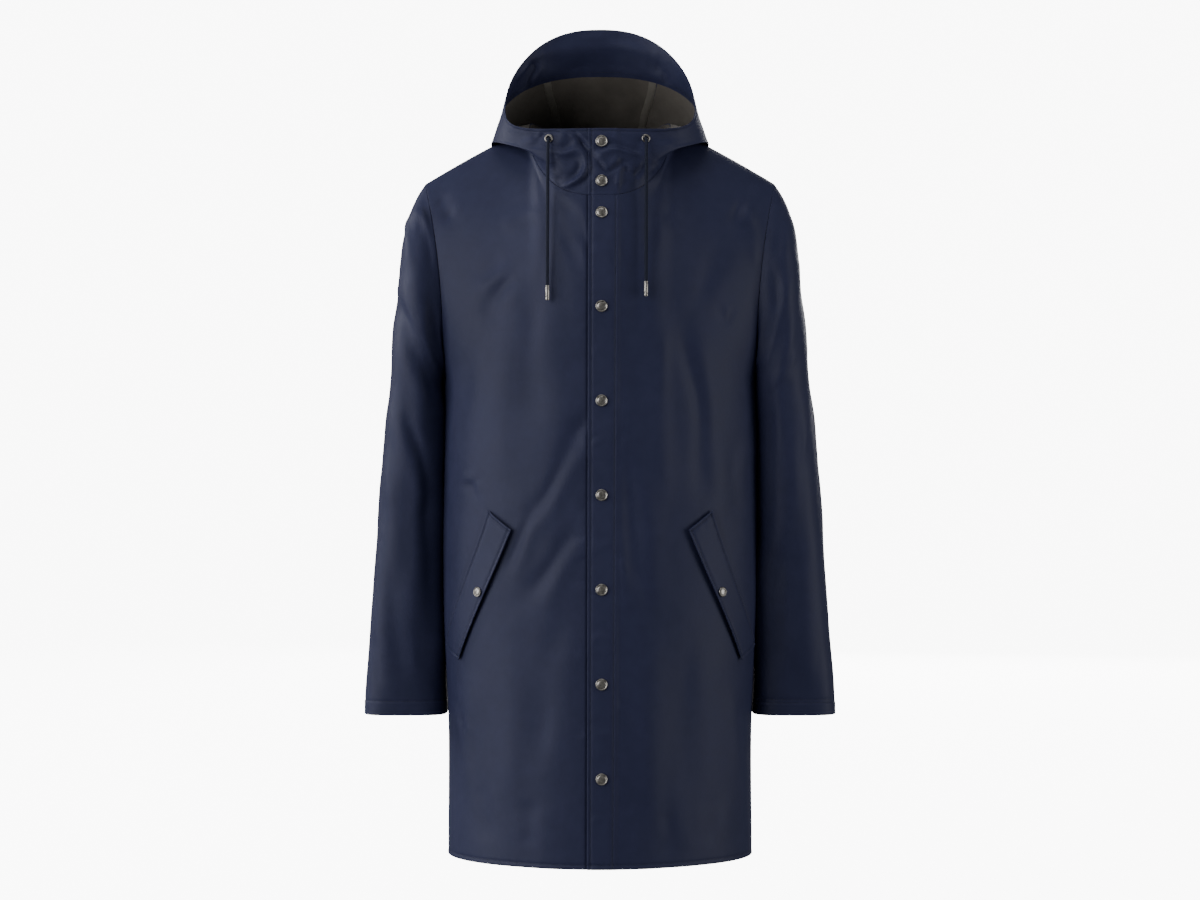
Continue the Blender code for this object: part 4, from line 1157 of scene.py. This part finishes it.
collarFolds = foldsOnCoat((
    (((430, 372), (520, 408), (600, 385), (650, 400), (674, 460),
      (668, 520), (640, 572), (565, 622), (500, 655)), 4, 3, 0.6),
    (((520, 440), (590, 440), (625, 480), (600, 550), (520, 590)), 5.8, -2, 0.3),
    (((585, 262), (640, 320), (688, 400), (698, 460)), 3.4, -2.2, 0.5),
    (((560, 262), (600, 310), (590, 365)), 4, 1.4, 0.4),
    (((745, 450), (790, 405), (860, 382), (940, 390), (1050, 425)), 3.6, 2.6, 0.7),
    (((715, 400), (765, 475), (828, 540), (880, 505), (935, 470)), 3.6, -2.6, 0.5),
    (((925, 490), (905, 560), (895, 640)), 3.4, 1.7, 0.5),
    (((955, 465), (985, 520), (1010, 590)), 3.2, 1.6, 0.5),
    (((940, 480), (975, 530), (1010, 560), (1060, 520), (1090, 470)), 4.4, -2.4, 0.5),
    (((470, 560), (480, 650), (490, 720)), 6, -1.4, 0.3),
    (((340, 268), (300, 300), (200, 345)), 5, 1.3, 0.4),
    (((290, 262), (340, 285), (385, 262)), 4, -1.3, 0.4),
    (((1120, 358), (1180, 345), (1290, 338)), 6, 1.3, 0.4),
    (((1080, 250), (1200, 270), (1330, 240)), 8, -0.9, 0.3),
    (((1130, 520), (1170, 490), (1200, 470)), 5, 1.3, 0.4),
    (((1180, 600), (1230, 520), (1290, 420)), 6, -1.3, 0.3),
    (((520, 230), (500, 300), (470, 350)), 6, 1.1, 0.3),
    (((440, 400), (455, 470), (440, 540)), 5, -1.2, 0.3),
), -0.12502, start=(490, 95), part=1 / 7, widthStep=0.001)

facingFolds = foldsOnCoat((
    (((535, 63), (549, 55), (568, 51), (600, 47), (632, 49), (655, 58)), 6, 1.3, 0.4),
    (((520, 90), (527, 78), (535, 66)), 4, -1.7, 0.5),
    (((527, 91), (531, 82), (541, 68)), 3.5, 1.4, 0.4),
    (((560, 73), (600, 68), (640, 71)), 8, -1, 0.3),
    (((566, 40), (590, 37), (612, 38)), 6, 0.9, 0.3),
    (((668, 88), (664, 76), (655, 66)), 5, -1, 0.4),
), 0.03)

# the right sleeve is worked out as a left one, so its folds are mirrored
sleeveRightFolds = foldsOnCoat((
    (((410, 219), (414, 214), (421, 214), (430, 225), (437, 245), (438, 267)), 4.4, 3.2, 0.6),
    (((428, 196), (431, 214), (440, 236)), 6, -2.4, 0.4),
    (((404, 213), (407, 238), (410, 264)), 4.4, 2.8, 0.6),
    (((398, 297), (404, 320), (410, 341), (426, 371), (440, 403)), 8, -4, 0.5),
    (((400, 284), (410, 309), (421, 335)), 7, 2.4, 0.3),
    (((406, 365), (406, 415), (421, 454), (429, 492), (426, 515), (429, 553), (436, 632)), 8, -3.3, 0.5),
    (((388, 408), (386, 455), (389, 512)), 6, 1.8, 0.3),
    (((384, 545), (390, 600), (394, 655)), 9, -1.8, 0.4),
    (((410, 560), (408, 620), (414, 680)), 9, 1.7, 0.3),
    (((372, 640), (377, 690)), 6, -1.2, 0.4),
    (((430, 300), (437, 322), (442, 345)), 6, -2, 0.4),
), -0.05, mirror=-1)

sleeveLeftFolds = foldsOnCoat((
    (((796, 266), (792, 305), (789, 340), (779, 377)), 7, 2.6, 0.5),
    (((782, 380), (790, 366), (797, 348)), 6, 2, 0.4),
    (((773, 270), (776, 310), (770, 350)), 7, -3, 0.4),
    (((770, 395), (768, 450), (766, 520), (762, 562)), 8, -3.3, 0.4),
    (((805, 398), (806, 430), (804, 462)), 4, 1.3, 0.3),
    (((790, 430), (793, 490), (789, 550)), 9, 1.8, 0.3),
    (((778, 560), (776, 620), (782, 680)), 9, -2.2, 0.4),
    (((803, 560), (806, 620), (812, 680)), 8, 1.5, 0.3),
    (((784, 210), (780, 232), (776, 256)), 6, -1.8, 0.4),
    (((800, 240), (806, 275), (808, 310)), 6, -1.6, 0.4),
    (((792, 655), (800, 695)), 6, -1.2, 0.4),
), -0.05)


hiddenFolds = {
    "back": (
        (((-0.150, -0.105), (-0.112, -0.190), (-0.088, -0.330)), 0.015, -0.0034, 0.4),
        (((0.150, -0.110), (0.118, -0.200), (0.090, -0.350)), 0.015, -0.0036, 0.4),
        (((-0.045, -0.330), (-0.052, -0.560), (-0.058, -0.820)), 0.020, 0.0034, 0.3),
        (((0.010, -0.360), (0.004, -0.620), (-0.002, -0.880)), 0.019, -0.0034, 0.3),
        (((0.060, -0.330), (0.066, -0.560), (0.072, -0.840)), 0.020, 0.0034, 0.3),
        (((-0.120, -0.420), (-0.126, -0.640), (-0.132, -0.880)), 0.021, -0.0030, 0.3),
        (((0.130, -0.450), (0.134, -0.660), (0.138, -0.880)), 0.021, -0.0030, 0.3),
        (((-0.095, -0.140), (-0.060, -0.175), (-0.010, -0.190)), 0.010, -0.0022, 0.5),
        (((0.100, -0.150), (0.062, -0.185), (0.016, -0.200)), 0.010, -0.0020, 0.5),
        (((-0.160, -0.330), (-0.120, -0.365), (-0.085, -0.372)), 0.010, -0.0018, 0.4),
        (((0.165, -0.340), (0.130, -0.380), (0.098, -0.392)), 0.010, -0.0018, 0.4),
        (((-0.170, -0.560), (-0.166, -0.700), (-0.160, -0.840)), 0.014, 0.0018, 0.3),
        (((0.170, -0.540), (0.168, -0.690), (0.164, -0.850)), 0.014, 0.0018, 0.3),
    ),
    "hoodOutside": (
        # on the hood's outside, seen from the back or the side, as (x, z)
        (((-0.086, 0.010), (-0.060, -0.040), (-0.050, -0.088)), 0.012, -0.0022, 0.4),
        (((0.090, 0.014), (0.064, -0.036), (0.052, -0.086)), 0.012, -0.0024, 0.4),
        (((-0.010, 0.050), (-0.006, 0.000), (-0.012, -0.060)), 0.014, 0.0018, 0.3),
        (((0.030, 0.090), (0.036, 0.040), (0.028, -0.010)), 0.012, -0.0018, 0.3),
        (((-0.040, 0.100), (-0.034, 0.060), (-0.044, 0.020)), 0.012, 0.0014, 0.3),
        (((-0.116, 0.020), (-0.100, -0.006), (-0.078, -0.020)), 0.009, -0.0018, 0.4),
        (((0.118, 0.020), (0.104, -0.008), (0.080, -0.022)), 0.009, -0.0018, 0.4),
    ),
    "sleeveBack": (
        (((0.256, -0.170), (0.246, -0.230), (0.230, -0.290)), 0.011, -0.0038, 0.4),
        (((0.266, -0.280), (0.256, -0.350), (0.238, -0.410)), 0.011, -0.0036, 0.4),
        (((0.268, -0.410), (0.262, -0.480), (0.240, -0.550)), 0.011, -0.0030, 0.4),
        (((0.280, -0.330), (0.284, -0.430), (0.280, -0.520)), 0.010, 0.0022, 0.3),
        (((0.250, -0.560), (0.256, -0.630), (0.254, -0.690)), 0.012, 0.0018, 0.3),
        (((0.274, -0.580), (0.268, -0.640), (0.272, -0.700)), 0.010, -0.0018, 0.3),
    ),
}

flapSetup = {
    # angle on the body's loop and height of each corner
    "topFree": (32.0, -0.4900),
    "topSewn": (43.0, -0.4660),
    "lowSewn": (79.0, -0.6410),
    "lowFree": (62.0, -0.6570),
    "sewnBow": 4.0,          # degrees that each long edge bows forwards half-way down
    "freeBow": 2.0,
    "gap": 0.0021,           # of its outer face at the sewn edge, over the front
    "stand": 0.0019,         # how much more at the free edge
    "thickness": 0.0018,
    "pitch": 0.0032,
}


def flapPlaces(along, across):
    # (angle, height) = sewn + (free - sewn) across, each edge a line less its bow
    corners = {k: np.array(flapSetup[k]) for k in ("topFree", "topSewn", "lowSewn", "lowFree")}
    bow = (4 * along * (1 - along))[..., None] * (1, 0)
    sewn = corners["topSewn"] + (corners["lowSewn"] - corners["topSewn"]) * along[..., None]
    free = corners["topFree"] + (corners["lowFree"] - corners["topFree"]) * along[..., None]
    sewn = sewn - flapSetup["sewnBow"] * bow
    free = free - flapSetup["freeBow"] * bow
    return sewn + (free - sewn) * across[..., None]


def underFlap(points, side):
    # 1 where the front lies under its pocket flap, falling to 0 a little outside it
    angle = np.degrees(np.arctan2(points[..., 0] * sides[side] / 0.203, -points[..., 1] / 0.146))
    z = points[..., 2]
    along = np.clip((-0.478 - z) / 0.171, -1, 2)
    middle = flapPlaces(np.clip(along, 0, 1), np.full_like(along, 0.5))[..., 0]
    aside = np.abs(angle - middle) / 7.0
    beyond = np.maximum(np.abs(along - 0.5) - 0.5, 0) * 9
    return (1 - smoothStep(aside, 0.9, 1.9)) * (1 - smoothStep(beyond, 0.0, 1.0))


def flapOutline():
    # grooves beside the flap's sewn edge and its two ends
    share = np.linspace(0, 1, 9)
    ends = np.zeros(9)
    lines = []
    for along, across in ((share, ends - 0.035), (ends - 0.006, share), (ends + 1.006, share)):
        places = flapPlaces(along, across)
        points = loopPoints(bodyLoops(places[:, 1]), places[:, :1])[:, 0]
        lines.append((points[:, (0, 2)], clothSetup["creviceWidth"], -clothSetup["creviceDepth"], 0.0))
    return lines


panels = {}
for side in sides:
    grid, t = frontPanel(side)
    normals = gridNormals(grid, False) * sides[side]
    edges = {"firstRow": "hem", "lastRow": "seam", "firstColumn": "placket", "lastColumn": "seam"}
    distances = edgeDistances(grid)
    folds = frontLeftFolds if side == "left" else frontRightFolds
    relief = foldRelief(grid, folds)
    relief += softWaves(grid, 0.0007, 0.055, 1.0 + 2.0 * sides[side])
    fromNeck = seamFade(distances, {"lastRow": "seam"}, 0.010)
    relief *= fromNeck * seamFade(distances, {"lastColumn": "seam"}, 0.022)
    relief *= 1 - 0.92 * underFlap(grid, side)
    relief += foldRelief(grid * (sides[side], 1, 1), flapOutline())
    if side == "left":
        relief *= smoothStep(t, 2.1, 3.2)[None]
        onLap = (1 - smoothStep(t, 1.6, 2.2))[None] * smoothStep(t, 0, 0.25)[None]
        relief += foldRelief(grid, lapFolds) * onLap
        lift = coatForm["lift"] * (1 - smoothStep(t, 2.0, 3.0))
        grid = grid + normals * lift[None, :, None]
        line, away = besideColumn(grid, t, 2)
        relief -= clothSetup["grooveDepth"] * np.exp(-(away / clothSetup["grooveWidth"]) ** 2)
        stitched = [("firstRow", stitchSetup["fromHem"]), ("firstColumn", stitchSetup["fromEdge"])]
    else:
        relief *= smoothStep(t, 1.4, 2.4)[None]
        line, away = besideColumn(grid, t, 2)
        relief -= clothSetup["creviceDepth"] * np.exp(-((away - 0.0003) / clothSetup["creviceWidth"]) ** 2)
        stitched = [("firstRow", stitchSetup["fromHem"])]
    panel = clothPanel("front_panel_" + side, "front_" + side, grid, sides[side], edges, relief,
                       stitched=stitched)
    if side == "left":
        places, ups = panel["outer"][:, line], panel["normals"][:, line]
        panel["stitches"].append(stitchesAlong(places, ups, stitchSetup["lapTrim"]))
    panels["front_" + side] = panel

grid, t = backPanel()
edges = {"firstRow": "hem", "lastRow": "seam", "firstColumn": "seam", "lastColumn": "seam"}
distances = edgeDistances(grid)
relief = foldRelief(grid, hiddenFolds["back"]) + softWaves(grid, 0.0008, 0.060, 2.0)
relief *= seamFade(distances, edges, 0.016)
stitched = [("firstRow", stitchSetup["fromHem"])]
panels["back"] = clothPanel("back_panel", "back", grid, 1, edges, relief, stitched=stitched)
print("fronts and back made")


sleeveSetup = {
    # height, angle and width of the places where a sleeve swells towards the body, and so passes a little
    # way through it
    "innerBack": (0.0055, 212, 24),
    "innerFront": (0.0075, 146, 21),
    "inner": (0.0018, 180, 20),
}

for side in sides:
    grid, rows = sleevePanel(side)
    edges = {"firstRow": "seam", "lastRow": "cuff"}
    distances = edgeDistances(grid, True)
    asLeft = grid * (sides[side], 1, 1)
    forward = smoothStep(-grid[..., 1], -0.012, 0.020)
    folds = sleeveLeftFolds if side == "left" else sleeveRightFolds
    relief = foldRelief(asLeft, folds) * forward
    relief += foldRelief(asLeft, hiddenFolds["sleeveBack"]) * (1 - forward)
    relief += softWaves(grid, 0.0008, 0.050, 3.0 + sides[side])
    angles = np.linspace(0, 360, grid.shape[1] + 1)[:-1]
    height = grid[..., 2]
    along = smoothStep(height, -0.72, -0.60) * smoothStep(distances["firstRow"], 0.0005, 0.006)
    relief *= seamFade(distances, edges, 0.014)
    for swell, middle, width in sleeveSetup.values():
        relief += swell * np.exp(-((angles - middle) / width) ** 2)[None] * along
    stitched = [("lastRow", offset) for offset in stitchSetup["fromCuff"][side]]
    panels["sleeve_" + side] = clothPanel(
        "sleeve_panel_" + side, "sleeve_" + side, grid, sides[side], edges, relief,
        wraps=True, stitched=stitched,
    )
print("sleeves made")


hoodSetup = {
    "facingRow": 1.0,        # the hood's loop where the facing ends
    "facingIn": 0.0016,
    "facingBulge": 0.0011,
    "tapeHalf": 0.0055,
    "tapeThickness": 0.0005,
    "tapeOff": 0.0004,       # between the tape and the inner face
    "foldRow": 4.1,          # the loop where the hood turns under
    "collarShare": 1.1,      # of the collar's folds
    "facingShare": 2.2,
}

hoodSeams = {"left": 12, "right": 16}      # the columns where the centre panel is sewn in
hood, hoodRows, hoodT = hoodSurface()
hoodOut = -gridNormals(hood, False)
hoodDistances = edgeDistances(hood)
atFront = smoothStep(-hood[..., 1], 0.035, 0.070)
relief = foldRelief(hood, collarFolds) * atFront * hoodSetup["collarShare"]
behind = (1 - atFront) * smoothStep(hoodRows, 1.0, 2.0)[:, None]
relief += foldRelief(hood, hiddenFolds["hoodOutside"]) * behind
relief += softWaves(hood, 0.0007, 0.035, 5.0)
atFold = np.exp(-((hoodRows - hoodSetup["foldRow"]) / 0.7) ** 2)[:, None]
relief *= 1 - 0.9 * atFold * smoothStep(np.abs(hood[..., 0]), 0.060, 0.085)
relief *= smoothStep(hoodDistances["lastRow"], 0, 0.006) * smoothStep(hoodDistances["firstRow"], 0, 0.004)
for seam in hoodSeams.values():
    relief *= smoothStep(np.abs(besideColumn(hood, hoodT, seam)[1]), 0.0, 0.010)
lapLeft = 1 - smoothStep(hoodT, 2.0, 3.0)
hood = hood + hoodOut * (coatForm["lift"] * lapLeft)[None, :, None]
hoodPanels = {
    "hood_left": (0, 12, {"firstColumn": "placket", "lastColumn": "seam"}, ["firstColumn"]),
    "hood_centre": (12, 16, {"firstColumn": "seam", "lastColumn": "seam"}, []),
    "hood_right": (16, 28, {"firstColumn": "seam", "lastColumn": "placket"}, []),
}
seamStitches = {"hood_left": "lastColumn", "hood_right": "firstColumn"}
for name, (low, high, edges, stitched) in hoodPanels.items():
    part = (hoodT >= low - 1e-6) & (hoodT <= high + 1e-6)
    edges = dict(edges, firstRow="rim", lastRow="seam")
    stitched = [(edge, stitchSetup["fromEdge"]) for edge in stitched] + [("firstRow", stitchSetup["fromRim"])]
    if name in seamStitches:
        stitched.append((seamStitches[name], stitchSetup["fromSeam"]))
    panels[name] = clothPanel(name + "_panel", name, hood[:, part], -1, edges, relief[:, part],
                              stitched=stitched, faced=hoodRows < hoodSetup["facingRow"] + 0.01)

hoodRelieved = hood + hoodOut * relief[..., None]
inHood = hoodRows <= hoodSetup["facingRow"] + 1e-6
along = (hoodT >= 3 - 1e-6) & (hoodT <= 25 + 1e-6)
facing = hoodRelieved[inHood][:, along]
facingOut = hoodOut[inHood][:, along]
facingDistances = edgeDistances(facing)
depth = hoodSetup["facingIn"] - 0.0006 * (1 - smoothStep(facingDistances["firstRow"], 0, 0.006))
bulge = smoothStep(np.minimum(facingDistances["firstRow"], facingDistances["lastRow"]), 0, 0.012)
visible = smoothStep(facing[..., 1], -0.045, -0.020) * hoodSetup["facingShare"]
visible = foldRelief(facing, facingFolds) * visible
depth = depth + (hoodSetup["facingBulge"] + visible + softWaves(facing, 0.0005, 0.030, 7.0)) * bulge
facing = facing - facingOut * depth[..., None]
edges = {"firstRow": "turned", "lastRow": "turned", "firstColumn": "raw", "lastColumn": "raw"}
panels["facing"] = clothPanel("hood_facing_band", "hood_facing", facing, 1, edges, np.zeros(facing.shape[:2]),
                              looks=[coated, coated], stitched=[("lastRow", stitchSetup["fromFacing"])])

for name, seam in hoodSeams.items():
    across = runLength(hoodRelieved, 1)
    seamColumn = int(np.argmin(np.abs(hoodT - seam)))
    inside = hoodRows > hoodSetup["facingRow"] - 0.06
    middle = across[:, seamColumn].mean()
    beside = np.abs(across.mean(axis=0) - middle) < hoodSetup["tapeHalf"]
    strip = (hoodRelieved - hoodOut * (clothSetup["thickness"] + hoodSetup["tapeOff"]))[inside][:, beside]
    edges = {"firstRow": "raw", "lastRow": "raw", "firstColumn": "raw", "lastColumn": "raw"}
    made = clothPanel("hood_seam_tape_" + name, None, strip, 1, edges, np.zeros(strip.shape[:2]),
                      looks=[tape, tape], thickness=hoodSetup["tapeThickness"])
    panels["hood_centre"]["tapes"].append(made["piece"])
print("hood, facing and seam tapes made")


for side in sides:
    along = evenPlaces([0.19], flapSetup["pitch"], (0, 1))
    across = evenPlaces([0.055], flapSetup["pitch"], (0, 1))
    places = flapPlaces(*np.meshgrid(along, across, indexing="ij"))
    flat = places.reshape(-1, 2)
    flap = loopPoints(bodyLoops(flat[:, 1]), flat[:, :1])[:, 0].reshape(*places.shape[:2], 3)
    flap[..., 0] *= sides[side]
    normals = gridNormals(flap, False) * sides[side]
    flap = flap + normals * (flapSetup["gap"] + flapSetup["stand"] * across ** 2)[None, :, None]
    edges = {"firstRow": "turned", "lastRow": "turned", "firstColumn": "seam", "lastColumn": "turned"}
    relief = softWaves(flap, 0.0004, 0.040, 8.0)
    sewnEdges = ("firstRow", "lastRow", "lastColumn", "firstColumn")
    stitched = [(edge, stitchSetup["fromEdge"]) for edge in sewnEdges]
    panels["flap_" + side] = clothPanel(
        "pocket_flap_cloth_" + side, "pocket_flap_" + side, flap, sides[side], edges, relief,
        looks=[coated, coated], stitched=stitched, thickness=flapSetup["thickness"],
    )
print("pocket flaps made")


cuts = {
    # flat width and length, and the share of that rectangle which the cut fills
    "front_left": (0.300, 0.980, 0.86, "hung", []),
    "front_right": (0.300, 0.980, 0.86, "hung", []),
    "back": (0.540, 0.980, 0.92, "hung", []),
    "sleeve_left": (0.490, 0.700, 0.66, "hung", []),
    "sleeve_right": (0.490, 0.700, 0.66, "hung", []),
    "hood_left": (0.260, 0.430, 0.51, "hung", []),
    "hood_centre": (0.144, 0.488, 0.77, "hung", []),
    "hood_right": (0.260, 0.430, 0.51, "hung", []),
    "facing": (0.060, 0.670, 0.53, "hung", []),
    "flap_left": (0.050, 0.203, 0.85, "laid", ["front_left"]),
    "flap_right": (0.050, 0.203, 0.85, "laid", ["front_right"]),
}
for name, (width, length, share, held, under) in cuts.items():
    panel = panels[name]
    sewn = panel["tapes"]
    if panel["stitches"]:
        sewn.append(stitchPiece("stitches_" + name, panel["stitches"]))
print("stitches made")


stageSetup = {
    # radius and height of the floor and of the dome that closes over it
    "profile": (
        (0.0, -1.06), (3.0, -1.06), (6.0, -1.06), (7.5, -1.02), (8.6, -0.6), (9.0, 0.5), (8.7, 2.5),
        (7.6, 4.6), (5.6, 6.4), (3.0, 7.5), (0.0, 7.9),
    ),
    "segments": 96,
    "colour": (0.93, 0.93, 0.93, 1),
    "glow": 9.0,
    "world": 0.13,
}

lights = {
    # place, where it points, width, height, watts
    "key": ((-3.5, -3.4, 0.8), (0, 0, -0.30), 2.8, 2.8, 112.0),
    "fill": ((4.7, -1.5, -0.3), (0, 0, -0.50), 2.6, 3.4, 94.0),
    "side": ((-4.7, -1.4, -0.3), (0, 0, -0.55), 1.8, 3.4, 88.0),
    "rim": ((-4.4, 1.7, 1.3), (-0.2, 0, -0.15), 1.2, 2.4, 90.0),
    "top": ((-0.3, -0.9, 2.7), (0, 0, -0.3), 2.6, 1.6, 24.0),
    "back": ((0.8, 4.8, 0.9), (0, 0, -0.4), 3.2, 3.2, 150.0),
}


def makeStage():
    # a pale floor and dome, turned round the upright axis; the lamps alone light the coat
    profile = np.array(stageSetup["profile"])
    angles = np.arange(stageSetup["segments"]) * 2 * math.pi / stageSetup["segments"]
    spokes = np.stack((np.cos(angles), np.sin(angles)), axis=-1)
    rings = spokes[None] * np.maximum(profile[:, 0], 0.001)[:, None, None]
    heights = np.broadcast_to(profile[:, 1, None, None], rings.shape[:2] + (1,))
    grid = np.concatenate((rings, heights), axis=-1)
    index = np.arange(grid.shape[0] * grid.shape[1]).reshape(grid.shape[:2])
    index = np.concatenate((index, index[:, :1]), axis=1)
    mesh = bpy.data.meshes.new("backdrop")
    mesh.from_pydata(grid.reshape(-1, 3), [], gridQuads(index, False).tolist())
    mesh.shade_smooth()
    paint = Finish("backdrop paint", {
        "Base Color": stageSetup["colour"], "Roughness": 0.9, "Specular IOR Level": 0.0,
        "Emission Color": (1, 1, 1, 1), "Emission Strength": stageSetup["glow"],
    })
    mesh.materials.append(paint.material)
    backdrop = bpy.data.objects.new("backdrop", mesh)
    bpy.context.scene.collection.objects.link(backdrop)
    backdrop.visible_diffuse = False
    backdrop.visible_glossy = False
    backdrop.visible_shadow = False


def makeLight(name, place, aim, width, height, watts):
    # an area light at a place, turned to its aim and unseen itself
    lamp = bpy.data.lights.new(name, "AREA")
    lamp.shape = "RECTANGLE"
    lamp.size = width
    lamp.size_y = height
    lamp.energy = watts
    holder = bpy.data.objects.new(name, lamp)
    holder.location = place
    holder.rotation_euler = (Vector(aim) - Vector(place)).to_track_quat("-Z", "Y").to_euler()
    holder.visible_camera = False
    bpy.context.scene.collection.objects.link(holder)


makeStage()
for name, values in lights.items():
    makeLight(name, *values)
world = bpy.data.worlds.new("studio")
world.use_nodes = True
world.node_tree.nodes["Background"].inputs["Color"].default_value = (1, 1, 1, 1)
world.node_tree.nodes["Background"].inputs["Strength"].default_value = stageSetup["world"]
bpy.context.scene.world = world
print("stage and lights made")
